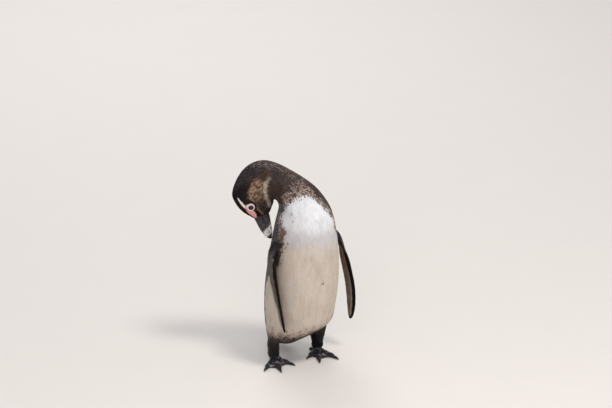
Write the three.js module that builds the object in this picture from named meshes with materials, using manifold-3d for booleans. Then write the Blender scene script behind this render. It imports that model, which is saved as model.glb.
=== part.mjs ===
// A young African penguin, life size, standing on both feet and preening its right shoulder:
// the neck arches over the bird's right side and the bill points down to the flipper's root.
//
// Millimetres, +Z up. The bird faces -Y and its left is +X. The origin is on the floor, under
// the middle of the bounding box. Most of the body is one sweep of oval sections, from the vent
// up the trunk, round the arch of the neck and down the head, parted by thin plane cuts.
import * as THREE from "three";
import { mergeVertices } from "three/addons/utils/BufferGeometryUtils.js";
import Module from "manifold-3d";

const wasm = await Module();
wasm.setup();

const GAP = 0.3; // between neighbouring solids
const GROWN = 0.5; // how much a sweep is fattened, for cutting what grows from it
const FAR = 400; // reach of a cutting block, well past the bird
const RAD = Math.PI / 180;

// ---- driving dimensions -------------------------------------------------------------------
const BODY_SIDES = 26; // facets round the trunk, neck and head
const BODY_STEPS = 3; // rings between two stations of the body

const BEND_TURN = 24 * RAD; // the neck's arch is turned this far back from the bird's own side
const PIVOT = { out: 54.6, fore: 8, z: 328.3 }; // the fold of the throat, that the neck bends round

const BILL_TIP = { out: 63, fore: 23, z: 254 };
const HEAD_TUCK = 22.4 * RAD; // the bill leans back in towards the body
const HEAD_ROLL = 9 * RAD; // the head's left side looks up a little
const EYE = { back: 75.8, up: 8.7, side: 16.2, radius: 8 };

const TAIL_DROP = { cos: Math.cos(42 * RAD), sin: Math.sin(42 * RAD) }; // the tail's slope
const TOE_LENGTHS = { inner: 38, middle: 54, outer: 50 };
const TOE_RADIUS = 5.2;
const WEB = { height: 1.4, thick: 3 };
const HEEL = { radius: 9 };
const CLAW_LENGTH = 13;

// ---- frames -------------------------------------------------------------------------------
const v3 = (x, y, z) => new THREE.Vector3(x, y, z);

// Out to the head, and fore to what the bent neck shows of its left side.
const OUT = v3(-Math.cos(BEND_TURN), Math.sin(BEND_TURN), 0);
const FORE = v3(-Math.sin(BEND_TURN), -Math.cos(BEND_TURN), 0);
const UP = v3(0, 0, 1);
const inBend = ({ out, fore, z }) =>
  v3(0, 0, z).addScaledVector(OUT, out).addScaledVector(FORE, fore);

// The head's own axes: back from the bill's tip, up to the crown, and its left side.
const headLeft = v3(0, 0, 0)
  .addScaledVector(FORE, Math.cos(HEAD_ROLL))
  .addScaledVector(UP, Math.sin(HEAD_ROLL));
const headRise = v3(0, 0, 0)
  .addScaledVector(FORE, -Math.sin(HEAD_ROLL))
  .addScaledVector(UP, Math.cos(HEAD_ROLL));
const headBack = v3(0, 0, 0)
  .addScaledVector(headRise, Math.cos(HEAD_TUCK))
  .addScaledVector(OUT, Math.sin(HEAD_TUCK));
const headUp = v3(0, 0, 0)
  .addScaledVector(OUT, Math.cos(HEAD_TUCK))
  .addScaledVector(headRise, -Math.sin(HEAD_TUCK));
const billTip = inBend(BILL_TIP);
const inHead = (back, up, side = 0) =>
  billTip
    .clone()
    .addScaledVector(headBack, back)
    .addScaledVector(headUp, up)
    .addScaledVector(headLeft, side);

// ---- solids -------------------------------------------------------------------------------
function solidOf(geometry) {
  geometry.deleteAttribute("normal");
  geometry.deleteAttribute("uv");
  const merged = mergeVertices(geometry, 1e-4);
  return new wasm.Manifold(
    new wasm.Mesh({
      numProp: 3,
      vertProperties: merged.attributes.position.array,
      triVerts: new Uint32Array(merged.index.array),
    }),
  );
}

function geometryOf(solid) {
  const mesh = solid.getMesh();
  return new THREE.BufferGeometry()
    .setAttribute("position", new THREE.BufferAttribute(mesh.vertProperties, 3))
    .setIndex(new THREE.BufferAttribute(mesh.triVerts, 1));
}

// A closed solid through rings of points, each ring counter-clockwise about the way the rings go.
function loft(rings) {
  const sides = rings[0].length;
  const positions = rings.flat().flatMap((p) => [p.x, p.y, p.z]);
  const index = [];
  for (let r = 0; r + 1 < rings.length; r++)
    for (let s = 0; s < sides; s++) {
      const a = r * sides + s;
      const b = r * sides + ((s + 1) % sides);
      index.push(a, b, b + sides, a, b + sides, a + sides);
    }
  for (const [r, turn] of [
    [0, [0, 2, 1]],
    [rings.length - 1, [0, 1, 2]],
  ]) {
    const middle = rings[r]
      .reduce((sum, p) => sum.add(p), v3(0, 0, 0))
      .divideScalar(sides);
    const centre = positions.length / 3;
    positions.push(middle.x, middle.y, middle.z);
    for (let s = 0; s < sides; s++) {
      const corners = [centre, r * sides + s, r * sides + ((s + 1) % sides)];
      index.push(...turn.map((k) => corners[k]));
    }
  }
  const geometry = new THREE.BufferGeometry();
  geometry.setAttribute("position", new THREE.Float32BufferAttribute(positions, 3));
  geometry.setIndex(index);
  return solidOf(geometry);
}

// An oval ring with its own half size on each of four sides: a and b are unit vectors across it,
// halves are its reach along a, b, -a and -b, and grow fattens it all round.
function oval({ centre, a, b, halves }, sides, grow = 0) {
  return Array.from({ length: sides }, (_, k) => {
    const turn = (2 * Math.PI * k) / sides;
    const c = Math.cos(turn);
    const s = Math.sin(turn);
    const reachA = (c > 0 ? halves[0] : halves[2]) + grow;
    const reachB = (s > 0 ? halves[1] : halves[3]) + grow;
    return centre
      .clone()
      .addScaledVector(a, c * reachA)
      .addScaledVector(b, s * reachB);
  });
}

// Catmull-Rom through a list of stations, each a ring as oval takes it.
function between(stations, steps) {
  const numbers = stations.map(({ centre, a, b, halves }) => [
    ...centre.toArray(),
    ...a.toArray(),
    ...b.toArray(),
    ...halves,
  ]);
  const at = (k) => numbers[Math.min(Math.max(k, 0), numbers.length - 1)];
  const made = [];
  for (let k = 0; k + 1 < numbers.length; k++)
    for (let j = 0; j < steps; j++) {
      const t = j / steps;
      made.push(
        at(k).map((p1, n) => {
          const [p0, p2, p3] = [at(k - 1)[n], at(k + 1)[n], at(k + 2)[n]];
          return (
            p1 +
            0.5 *
              t *
              (p2 - p0 + t * (2 * p0 - 5 * p1 + 4 * p2 - p3 + t * (3 * (p1 - p2) + p3 - p0)))
          );
        }),
      );
    }
  made.push(numbers[numbers.length - 1]);
  return made.map((n) => {
    const a = v3(n[3], n[4], n[5]).normalize();
    const b = v3(n[6], n[7], n[8]);
    b.addScaledVector(a, -a.dot(b)).normalize();
    return { centre: v3(n[0], n[1], n[2]), a, b, halves: n.slice(9) };
  });
}

const sweep = (stations, { sides, steps }) =>
  loft(between(stations, steps).map((ring) => oval(ring, sides)));

// A big block on the far side of a plane, so that intersect keeps what lies along its normal.
function halfSpace(point, normal) {
  const block = new THREE.BoxGeometry(2 * FAR, 2 * FAR, FAR);
  block.translate(0, 0, FAR / 2);
  block.applyQuaternion(new THREE.Quaternion().setFromUnitVectors(UP, normal));
  block.translate(point.x, point.y, point.z);
  return solidOf(block);
}

function ball(centre, radius, wide, high) {
  const sphere = new THREE.SphereGeometry(radius, wide, high);
  sphere.translate(centre.x, centre.y, centre.z);
  return solidOf(sphere);
}

// ---- the body's sweep ---------------------------------------------------------------------
// Level sections of the trunk: height, middle, half width, depth to the belly and the back, and
// the half width on the bird's left where the belly is drawn up over that leg.
const trunkSection = (z, x, y, half, belly, back, left = half) => ({
  centre: v3(x, y, z),
  a: v3(-1, 0, 0),
  b: v3(0, -1, 0),
  halves: [half, belly, left, back],
});

const trunkStations = [
  trunkSection(31, -31, 15, 10, 7.5, 18, 7), // vent
  trunkSection(35.5, -30, 11, 22, 19.5, 38, 15),
  trunkSection(47, -23.5, 7.5, 39, 34, 51, 23), // between the legs
  trunkSection(63, -15, 5, 55.5, 46, 60.5, 56), // hips
  trunkSection(84, -10, 2, 65, 65, 65, 68.5),
  trunkSection(114, -7.5, 0, 69.5, 72, 65.5), // belly
  trunkSection(150, -5, -1, 72, 74, 63.5),
  trunkSection(190, -2, -2, 71, 72.5, 61),
  trunkSection(228, 0, -3, 67.5, 69.5, 58), // breast
  trunkSection(262, 1.5, -3, 62.5, 64, 54),
  trunkSection(292, 2, -3, 56.5, 58, 49.5), // shoulders
  trunkSection(316, 1, -2, 49, 51.5, 44.5),
];

// Sections of the neck, fanned round the fold of the throat: turn is 0 level on the body's side
// and half a turn at the head, reach is out to the nape, half is the half width across, and
// behind is how far the section sits behind the plane of the bend.
const neckSection = (turn, reach, half, behind = 0) => {
  const inward = v3(0, 0, 0)
    .addScaledVector(OUT, Math.cos(turn * RAD))
    .addScaledVector(UP, -Math.sin(turn * RAD));
  const inner = 3; // the fold's own small radius
  const middle = inner + (reach - inner) * 0.5;
  return {
    centre: inBend(PIVOT).addScaledVector(inward, -middle).addScaledVector(FORE, -behind),
    a: inward,
    b: FORE,
    halves: [middle - inner, half, reach - middle, half],
  };
};

const neckStations = [
  neckSection(13, 86, 42, 5), // root of the neck
  neckSection(33, 73, 37.5, 2.5),
  neckSection(60, 68, 33.5),
  neckSection(85, 74.5, 31),
  neckSection(103, 83.5, 30), // top of the arch
  neckSection(118, 87.5, 29),
  neckSection(133, 87.5, 28.5), // nape
  neckSection(150, 85.5, 27.5),
];

// Sections of the head, from its underside to its top line, both as [back, up] from the bill's
// tip, with the half width, and the share of the section that lies below its widest place.
const headSection = (under, top, half, below) => {
  const low = inHead(...under);
  const high = inHead(...top);
  const span = low.distanceTo(high);
  const inward = low.clone().sub(high).normalize();
  return {
    centre: high.clone().lerp(low, 1 - below),
    a: inward,
    b: headLeft,
    halves: [span * below, half, span * (1 - below), half],
  };
};

const headStations = [
  headSection([69, -36.5], [110, 35], 26.5, 0.57), // hind crown
  headSection([66, -35], [96, 36.2], 25.3, 0.57), // crown
  headSection([62, -32], [80.5, 33.5], 23, 0.57), // over the eyes
  headSection([57, -27], [67, 27.5], 19.5, 0.55), // brow
  headSection([52, -22.5], [57, 20], 15.5, 0.52), // lores
  headSection([47, -18.2], [50, 14.6], 11.8, 0.5), // the feathers' edge at the bill
];

// The whole sweep, and the stations where it is parted into trunk, neck and head.
const NECK_ROOT = trunkStations.length;
const HEAD_ROOT = NECK_ROOT + neckStations.length - 1;
const bodyRings = between([...trunkStations, ...neckStations, ...headStations], BODY_STEPS);

// All that lies past a ring's plane, moved along the sweep by a shift.
function beyond(ring, shift) {
  const normal = ring.a.clone().cross(ring.b);
  return halfSpace(ring.centre.clone().addScaledVector(normal, shift), normal);
}

// The sweep between two stations, drawn back from each cut by half the gap.
function stretchOfBody(from, to) {
  const first = from * BODY_STEPS;
  const last = Math.min(to * BODY_STEPS, bodyRings.length - 1);
  const rings = bodyRings.slice(first, last + 1).map((ring) => oval(ring, BODY_SIDES));
  let solid = loft(rings);
  if (first > 0) solid = solid.intersect(beyond(bodyRings[first], GAP / 2));
  if (last < bodyRings.length - 1) solid = solid.subtract(beyond(bodyRings[last], -GAP / 2));
  return solid;
}

const bodyWithRoom = loft(bodyRings.map((ring) => oval(ring, BODY_SIDES, GROWN)));

// ---- eyes ---------------------------------------------------------------------------------
const eyeCentre = (side) => inHead(EYE.back, EYE.up, side * EYE.side);
const eyeBall = (side) => ball(eyeCentre(side), EYE.radius, 14, 10);
const eyeSocket = (side) => ball(eyeCentre(side), EYE.radius + GAP, 14, 10);

// ---- bill ---------------------------------------------------------------------------------
// Stations from the feathers to the tip: back from the tip, heights of the top line, the parting
// of the two halves and the underside, and half the width.
const billStations = [
  { back: 53, top: 13.8, parting: -1.8, under: -17.4, half: 11 },
  { back: 40, top: 12.9, parting: -2.6, under: -15.8, half: 8.8 },
  { back: 28, top: 12.5, parting: -3.2, under: -13, half: 7 },
  { back: 15, top: 10.4, parting: -3.2, under: -9.8, half: 5.6 },
  { back: 8, top: 7.2, parting: -3, under: -6.8, half: 4.3 },
  { back: 3.5, top: 3.4, parting: -3, under: -4.2, half: 2.9 },
  { back: 0.4, top: 0.2, parting: -3.4, half: 1.2 },
];
const BILL_SIDES = 14;
const inFrontOfHead = beyond(bodyRings[bodyRings.length - 1], GAP);

const upperBill = sweep(
  billStations.map(({ back, top, parting, half }) => ({
    centre: inHead(back, parting + GAP / 2),
    a: headUp,
    b: headLeft.clone().negate(),
    halves: [top - parting, half, 0, half],
  })),
  { sides: BILL_SIDES, steps: 1 },
).intersect(inFrontOfHead);

const lowerBill = sweep(
  billStations
    .filter(({ under }) => under !== undefined)
    .map(({ back, parting, under, half }) => ({
      centre: inHead(back, parting - GAP / 2),
      a: headUp.clone().negate(),
      b: headLeft,
      halves: [parting - under, half * 0.93, 0, half * 0.93],
    })),
  { sides: BILL_SIDES, steps: 1 },
).intersect(inFrontOfHead);

// ---- flippers -----------------------------------------------------------------------------
// Level sections down a flipper: the middle of its width, its width and thickness, and how far
// its leading edge is turned from straight ahead towards the bird's left.
const flipperSection = (x, y, z, width, thick, turn) => {
  const ahead = v3(Math.sin(turn * RAD), -Math.cos(turn * RAD), 0);
  const lead = 0.42; // share of the width ahead of the thickest place
  return {
    centre: v3(x, y, z).addScaledVector(ahead, width * (0.5 - lead)),
    a: ahead,
    b: v3(-Math.cos(turn * RAD), -Math.sin(turn * RAD), 0),
    halves: [width * lead, thick / 2, width * (1 - lead), thick / 2],
  };
};

const flipperStations = {
  left: [
    flipperSection(42, -2, 270, 28, 12, 0), // shoulder, in the trunk
    flipperSection(68, -2, 252, 34, 12, 0),
    flipperSection(82.5, -2, 213, 42, 10, 0), // elbow
    flipperSection(92, -3, 172, 46, 7.5, 1),
    flipperSection(99, -3, 135, 45.5, 6.5, 1),
    flipperSection(102, -1, 100, 40, 5.5, 1),
    flipperSection(102.5, 2, 76, 28, 4.5, 0),
    flipperSection(102.5, 4, 66, 15, 3.5, 0),
    flipperSection(102.5, 4.5, 62.5, 5, 2.5, 0), // tip
  ],
  right: [
    flipperSection(-42, -12, 262, 26, 12, -4), // shoulder, in the trunk
    flipperSection(-69, -18, 248, 32, 12, -4),
    flipperSection(-78, -24, 222, 43, 11, -4), // elbow
    flipperSection(-77, -33, 184, 46, 8.5, -7),
    flipperSection(-72.5, -40.5, 148, 42, 7, -11),
    flipperSection(-67.5, -46, 115, 36, 6, -14),
    flipperSection(-64, -49.5, 92, 25, 5, -16),
    flipperSection(-62, -51, 82, 13, 4, -16),
    flipperSection(-61.5, -51.5, 79, 5, 2.5, -16), // tip
  ],
};

const flipper = (side) =>
  sweep(flipperStations[side], { sides: 14, steps: 2 }).subtract(bodyWithRoom);

// ---- tail ---------------------------------------------------------------------------------
const tailSection = (y, z, wide, thick) => ({
  centre: v3(-9, y, z),
  a: v3(1, 0, 0),
  b: v3(0, -TAIL_DROP.cos, -TAIL_DROP.sin),
  halves: [wide, thick, wide, thick],
});

const tail = sweep(
  [
    tailSection(46, 70, 24, 12),
    tailSection(62, 49, 22.5, 9),
    tailSection(78, 29, 19.5, 4.5),
    tailSection(91, 13.5, 14, 2),
    tailSection(94, 10.5, 10, 1.2), // tip
  ],
  { sides: 16, steps: 2 },
).subtract(bodyWithRoom);

// ---- legs and feet ------------------------------------------------------------------------
// Each foot's ankle, and its heading: the turn of its middle toe from straight ahead towards the
// bird's left. inner is the side of the foot, as a sign along that turn, that faces the other,
// thigh is half the width of the thigh above it, and lean is how far in its middle leans.
const FEET = {
  left: {
    ...{ x: 38, y: 16, heading: -20, inner: -1, thigh: 18, lean: -1 },
    spread: { inner: 29, middle: 0, outer: 37 },
  },
  right: {
    ...{ x: -60, y: 5, heading: -11, inner: 1, thigh: 14, lean: 2 },
    spread: { inner: 42, middle: 0, outer: 30 },
  },
};
const ANKLE_TOP = 11; // the leg stands on the foot here
const SOLE_SINK = 0.9; // what the floor takes off each toe's round underside

const legOf = ({ x, y, inner, thigh, lean }, grow = 0) =>
  sweep(
    [
      [ANKLE_TOP, 10.8, 11, 0],
      [26, 11.4, 12, 0],
      [46, thigh - 0.5, thigh - 0.5, 0],
      [62, thigh + 2, thigh + 2, lean],
      [84, thigh, thigh, lean + 5], // in the trunk
    ].map(([z, wide, deep, inwards]) => ({
      centre: v3(x + inner * inwards, y + 1, z - grow),
      a: v3(-1, 0, 0),
      b: v3(0, -1, 0),
      halves: [wide + grow, deep + grow, wide + grow, deep + grow],
    })),
    { sides: 12, steps: 2 },
  );

// One ring of a toe or claw, at a distance along its heading.
const toeSection = ({ x, y }, turn, along, z, radius) => ({
  centre: v3(x + along * Math.sin(turn), y - along * Math.cos(turn), z),
  a: v3(Math.cos(turn), Math.sin(turn), 0),
  b: UP,
  halves: [radius, radius * 0.94, radius, radius],
});

const toeOf = (ankle, turn, length) =>
  sweep(
    [
      [0, TOE_RADIUS + 1.2],
      [length * 0.35, TOE_RADIUS],
      [length * 0.7, TOE_RADIUS - 0.4],
      [length - 7, TOE_RADIUS - 0.2],
      [length, TOE_RADIUS - 1.9],
    ].map(([along, radius]) => toeSection(ankle, turn, along, radius - SOLE_SINK, radius)),
    { sides: 10, steps: 1 },
  );

const clawOf = (ankle, turn, length) =>
  sweep(
    [
      [0, 3.1, 2.9],
      [5, 3.1, 2.4],
      [9.5, 2.6, 1.7],
      [CLAW_LENGTH, 1.4, 0.5],
    ].map(([along, z, radius]) => toeSection(ankle, turn, length + GAP + along, z, radius)),
    { sides: 8, steps: 1 },
  );

// The web, scalloped between the ends of the toes.
function webOf(ankle, toes) {
  const reach = ({ turn, length }, share) => [
    length * share * Math.sin(turn),
    -length * share * Math.cos(turn),
  ];
  const [first, middle, last] = toes;
  const shape = new THREE.Shape();
  shape.moveTo(0, 0);
  shape.lineTo(...reach(first, 0.93));
  for (const [from, to] of [
    [first, middle],
    [middle, last],
  ]) {
    const between = { turn: (from.turn + to.turn) / 2, length: (from.length + to.length) / 2 };
    shape.quadraticCurveTo(...reach(between, 0.7), ...reach(to, 0.93));
  }
  const web = new THREE.ExtrudeGeometry(shape, {
    depth: WEB.thick,
    bevelEnabled: false,
    curveSegments: 4,
  });
  web.translate(ankle.x, ankle.y, WEB.height);
  return solidOf(web);
}

function footOf(foot) {
  const toes = [
    { name: "inner", side: foot.inner },
    { name: "middle", side: 0 },
    { name: "outer", side: -foot.inner },
  ].map(({ name, side }) => ({
    name,
    turn: (foot.heading + side * foot.spread[name]) * RAD,
    length: TOE_LENGTHS[name],
  }));
  const hind = { turn: foot.heading * RAD + foot.inner * 115 * RAD, length: 17 };
  const ordered = [...toes].sort((one, other) => one.turn - other.turn);
  const heel = ball(v3(foot.x, foot.y + 1, HEEL.radius - 1.5), HEEL.radius, 12, 8);
  const solid = toes
    .reduce((sum, { turn, length }) => sum.add(toeOf(foot, turn, length)), heel)
    .add(webOf(foot, ordered))
    .add(toeOf(foot, hind.turn, hind.length))
    .intersect(halfSpace(v3(0, 0, 0), UP))
    .subtract(legOf(foot, GAP));
  return { solid, toes };
}

// ---- the whole bird -----------------------------------------------------------------------
const MATERIALS = {
  plumage: { color: 0x4a4440, roughness: 0.9 },
  breast: { color: 0xd9cfc4, roughness: 0.9 },
  flipper: { color: 0x2b2726, roughness: 0.85 },
  bill: { color: 0x1d1b1c, roughness: 0.45 },
  eye: { color: 0x120e0c, roughness: 0.1 },
  foot: { color: 0x26211f, roughness: 0.7 },
  claw: { color: 0x1a1615, roughness: 0.5 },
};

const bird = new THREE.Group();
function add(name, solid, material) {
  const mesh = new THREE.Mesh(
    geometryOf(solid),
    new THREE.MeshStandardMaterial({ ...MATERIALS[material], metalness: 0 }),
  );
  mesh.name = name;
  bird.add(mesh);
}

const feet = Object.entries(FEET).map(([side, foot]) => ({ side, foot, ...footOf(foot) }));

add("trunk", stretchOfBody(0, NECK_ROOT), "breast");
add("neck", stretchOfBody(NECK_ROOT, HEAD_ROOT), "plumage");
add(
  "head",
  stretchOfBody(HEAD_ROOT, Infinity).subtract(eyeSocket(1)).subtract(eyeSocket(-1)),
  "plumage",
);
add("bill_upper", upperBill, "bill");
add("bill_lower", lowerBill, "bill");
add("eye_left", eyeBall(1), "eye");
add("eye_right", eyeBall(-1), "eye");
add("flipper_left", flipper("left"), "flipper");
add("flipper_right", flipper("right"), "flipper");
add("tail", tail, "plumage");
for (const { side, foot, solid, toes } of feet) {
  add(`leg_${side}`, legOf(foot).subtract(bodyWithRoom), "foot");
  add(`foot_${side}`, solid, "foot");
  for (const { name, turn, length } of toes)
    add(`claw_${side}_${name}`, clawOf(foot, turn, length), "claw");
}

const box = new THREE.Box3().setFromObject(bird);
bird.position.set(-(box.min.x + box.max.x) / 2, -(box.min.y + box.max.y) / 2, -box.min.z);

export default bird;
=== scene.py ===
"""A young African penguin, life size, preening its right shoulder, as a still museum model.

Metres, +Z up. The bird faces -Y and its left is +X. The solids of its flesh are turned into one
distance field, which gives a seamless skin, and feathers are laid over that skin as thin vanes.
"""

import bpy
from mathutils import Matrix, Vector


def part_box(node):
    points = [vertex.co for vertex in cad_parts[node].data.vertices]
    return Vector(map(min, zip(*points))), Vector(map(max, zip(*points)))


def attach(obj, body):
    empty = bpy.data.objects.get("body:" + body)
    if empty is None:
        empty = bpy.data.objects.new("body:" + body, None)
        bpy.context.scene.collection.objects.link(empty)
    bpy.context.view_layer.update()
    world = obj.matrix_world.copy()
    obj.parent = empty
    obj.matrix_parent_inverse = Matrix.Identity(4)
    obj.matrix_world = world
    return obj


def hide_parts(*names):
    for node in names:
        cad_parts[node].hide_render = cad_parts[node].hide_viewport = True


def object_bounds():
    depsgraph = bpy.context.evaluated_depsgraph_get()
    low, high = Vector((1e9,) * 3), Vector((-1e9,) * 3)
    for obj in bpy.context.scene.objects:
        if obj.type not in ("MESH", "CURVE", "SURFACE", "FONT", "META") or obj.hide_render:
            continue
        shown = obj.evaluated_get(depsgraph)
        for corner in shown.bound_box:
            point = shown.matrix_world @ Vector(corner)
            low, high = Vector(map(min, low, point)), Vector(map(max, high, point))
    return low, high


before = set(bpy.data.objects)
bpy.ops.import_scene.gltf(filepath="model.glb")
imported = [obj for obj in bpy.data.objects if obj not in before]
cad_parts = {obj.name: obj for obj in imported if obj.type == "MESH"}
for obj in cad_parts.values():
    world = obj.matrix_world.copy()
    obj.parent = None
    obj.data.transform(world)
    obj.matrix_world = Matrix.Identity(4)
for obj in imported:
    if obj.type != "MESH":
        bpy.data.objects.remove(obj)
cad_box = [list(corner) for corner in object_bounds()]

import math

import bmesh
import bpy
import numpy as np
import openvdb
from mathutils import Vector
from mathutils.kdtree import KDTree

MM = 0.001
RAD = math.pi / 180
ROOT = "root"
SIDES = {"left": 1, "right": -1}

FLESH = ["trunk", "neck", "head", "flipper_left", "flipper_right", "tail",
         "leg_left", "leg_right", "foot_left", "foot_right"]


# ---- small helpers ------------------------------------------------------------------------
def unit(vectors):
    return vectors / np.maximum(np.linalg.norm(vectors, axis=-1, keepdims=True), 1e-12)


def ramp(low, high, x):
    """0 below low, 1 above high, and smooth between them."""
    t = np.clip((x - low) / (high - low), 0, 1)
    return t * t * (3 - 2 * t)


def srgb(red, green, blue):
    """A colour given as a screen shows it, 0 to 255, as the linear values that shaders use."""
    c = np.array([red, green, blue]) / 255
    return np.where(c <= 0.04045, c / 12.92, ((c + 0.055) / 1.055) ** 2.4)


def mix(a, b, share):
    """From colours a to b, by a plain share for each."""
    share = np.asarray(share)[..., None]
    return a * (1 - share) + b * share


def layered(tone, *layers):
    """A tone under layers, each given as its colour and its share."""
    for colour, share in layers:
        tone = mix(tone, colour, share)
    return tone


def box_middle(node):
    low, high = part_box(node)
    return (np.array(low) + np.array(high)) / 2


def mesh_points(mesh):
    points = np.empty(len(mesh.vertices) * 3, np.float32)
    mesh.vertices.foreach_get("co", points)
    return points.reshape(-1, 3)


def mesh_triangles(mesh, field):
    """For each triangle of a mesh its corners' "vertices" or "loops"."""
    mesh.calc_loop_triangles()
    values = np.empty(len(mesh.loop_triangles) * 3, np.int32)
    mesh.loop_triangles.foreach_get(field, values)
    return values.reshape(-1, 3)


def node_mesh(name):
    """A CAD node's points and triangles."""
    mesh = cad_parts[name].data
    return mesh_points(mesh), mesh_triangles(mesh, "vertices")


def mesh_object(name, points, faces, material):
    """A piece from arrays of points and of faces that all have as many corners."""
    mesh = bpy.data.meshes.new(name)
    faces = np.asarray(faces, np.int32)
    sides = faces.shape[1]
    mesh.vertices.add(len(points))
    mesh.vertices.foreach_set("co", np.asarray(points, np.float32).ravel())
    mesh.loops.add(faces.size)
    mesh.loops.foreach_set("vertex_index", faces.ravel())
    mesh.polygons.add(len(faces))
    mesh.polygons.foreach_set("loop_start", np.arange(0, faces.size, sides, dtype=np.int32))
    mesh.polygons.foreach_set("use_smooth", np.full(len(faces), True))
    mesh.update(calc_edges=True)
    mesh.validate()
    return as_piece(name, mesh, material)


def as_piece(name, mesh, material):
    piece = bpy.data.objects.new(name, mesh)
    bpy.context.scene.collection.objects.link(piece)
    mesh.materials.append(material)
    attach(piece, ROOT)
    return piece


def paint(mesh, colours, name="Tone"):
    """Stores a linear colour for each vertex."""
    layer = mesh.color_attributes.new(name, "FLOAT_COLOR", "POINT")
    values = np.ones((len(mesh.vertices), 4), np.float32)
    values[:, :3] = colours
    layer.data.foreach_set("color", values.ravel())


def set_uv(mesh, name, corners):
    layer = mesh.uv_layers.new(name=name)
    layer.uv.foreach_set("vector", np.asarray(corners, np.float32).ravel())


def curve_through(stations, steps):
    """Smooth rows between rows of numbers, as a Catmull-Rom curve."""
    rows = np.array(stations, float)
    padded = np.vstack([2 * rows[0] - rows[1], rows, 2 * rows[-1] - rows[-2]])
    out = []
    for i in range(len(rows) - 1):
        a, b, c, d = padded[i:i + 4]
        for t in np.arange(steps) / steps:
            out.append(0.5 * (2 * b + (c - a) * t + (2 * a - 5 * b + 4 * c - d) * t ** 2
                              + (3 * b - a - 3 * c + d) * t ** 3))
    return np.array(out + [rows[-1]])


def round_turns(sides):
    return np.arange(sides) / sides * 2 * math.pi


def tube_faces(rings, sides, looped=False):
    """Quads between rings of points, and from the last ring to the first if looped."""
    ring, side = np.meshgrid(np.arange(rings if looped else rings - 1), np.arange(sides),
                             indexing="ij")
    after = (side + 1) % sides
    here, ahead = ring * sides, (ring + 1) % rings * sides
    return np.stack([here + side, here + after, ahead + after, ahead + side], -1).reshape(-1, 4)


def closed_tube(rings):
    """Points and triangles of a closed skin through rings, given as an array ring, side, xyz."""
    count, sides = rings.shape[:2]
    quads = tube_faces(count, sides)
    points = np.vstack([rings.reshape(-1, 3), rings[0].mean(0), rings[-1].mean(0)])
    first, last = count * sides, count * sides + 1
    here = np.arange(sides)
    after = (here + 1) % sides
    end = (count - 1) * sides
    caps = [np.stack([np.full(sides, first), after, here], -1),
            np.stack([np.full(sides, last), end + here, end + after], -1)]
    triangles = np.vstack([quads[:, [0, 1, 2]], quads[:, [0, 2, 3]]] + caps)
    return points, triangles


# A lattice of seeded random numbers, for clouds of value noise.
LATTICE = 32
lattice = np.random.default_rng(7).random((LATTICE,) * 3).astype(np.float32)


def cloud(points, size, seed=0, stretch=(1, 1, 1)):
    """Smooth noise from 0 to 1, with blobs about size across."""
    at = points / size / np.array(stretch) + seed * 7.31
    cell = np.floor(at).astype(int)
    part = at - cell
    part = part * part * (3 - 2 * part)
    total = np.zeros(len(points))
    for corner in np.ndindex(2, 2, 2):
        index = (cell + corner) % LATTICE
        share = np.prod(np.where(corner, part, 1 - part), axis=1)
        total += share * lattice[index[:, 0], index[:, 1], index[:, 2]]
    return total


# ---- camera, floor and light --------------------------------------------------------------
CAMERA_TURN = -24 * RAD
CAMERA_RISE = 20 * RAD
CAMERA_DISTANCE = 9.945
CAMERA_LENS = 300  # mm, on a sensor 36 mm wide
CAMERA_AIM = np.array([0.0597, 0.0806, 0.2800])

FLOOR_TONE = srgb(226, 219, 213)
FLOOR_REACH = 60
LAMPS_AIM = Vector((0, 0, 0.2))
# Name, place, size in m, power in W and colour.
LAMPS = [("key", (0.5, -1.4, 2.7), 0.6, 38, (1.0, 0.98, 0.96)),
         ("fill", (-1.2, -2.6, 1.5), 1.8, 34, (0.98, 0.98, 1.0)),
         ("rim", (0.6, 2.6, 2.2), 1.6, 38, (0.96, 0.98, 1.0))]
WORLD_TONE = (0.95, 0.97, 1.0, 1)
WORLD_STRENGTH = 0.5


def make_camera():
    back = np.array([math.sin(CAMERA_TURN) * math.cos(CAMERA_RISE),
                     -math.cos(CAMERA_TURN) * math.cos(CAMERA_RISE), math.sin(CAMERA_RISE)])
    data = bpy.data.cameras.new("camera")
    data.lens = CAMERA_LENS
    data.sensor_width = 36
    data.clip_end = 200
    camera = bpy.data.objects.new("camera", data)
    camera.location = Vector(CAMERA_AIM + back * CAMERA_DISTANCE)
    camera.rotation_mode = "QUATERNION"
    camera.rotation_quaternion = Vector(-back).to_track_quat("-Z", "Y")
    bpy.context.scene.collection.objects.link(camera)
    bpy.context.scene.camera = camera


def add_area_light(name, place, size, power, tone):
    data = bpy.data.lights.new(name, "AREA")
    data.size = size
    data.energy = power
    data.color = tone
    lamp = bpy.data.objects.new(name, data)
    lamp.location = place
    lamp.rotation_mode = "QUATERNION"
    lamp.rotation_quaternion = (LAMPS_AIM - Vector(place)).to_track_quat("-Z", "Y")
    bpy.context.scene.collection.objects.link(lamp)


def make_light():
    world = bpy.data.worlds.new("studio")
    bpy.context.scene.world = world
    world.use_nodes = True
    background = world.node_tree.nodes["Background"]
    background.inputs["Color"].default_value = WORLD_TONE
    background.inputs["Strength"].default_value = WORLD_STRENGTH
    for lamp in LAMPS:
        add_area_light(*lamp)


def make_floor():
    mesh = bpy.data.meshes.new("floor")
    far = FLOOR_REACH
    mesh.from_pydata([(-far, -far, 0), (far, -far, 0), (far, far, 0), (-far, far, 0)], [],
                     [(0, 1, 2, 3)])
    floor = bpy.data.objects.new("floor", mesh)
    bpy.context.scene.collection.objects.link(floor)
    mesh.materials.append(floor_material())


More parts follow.
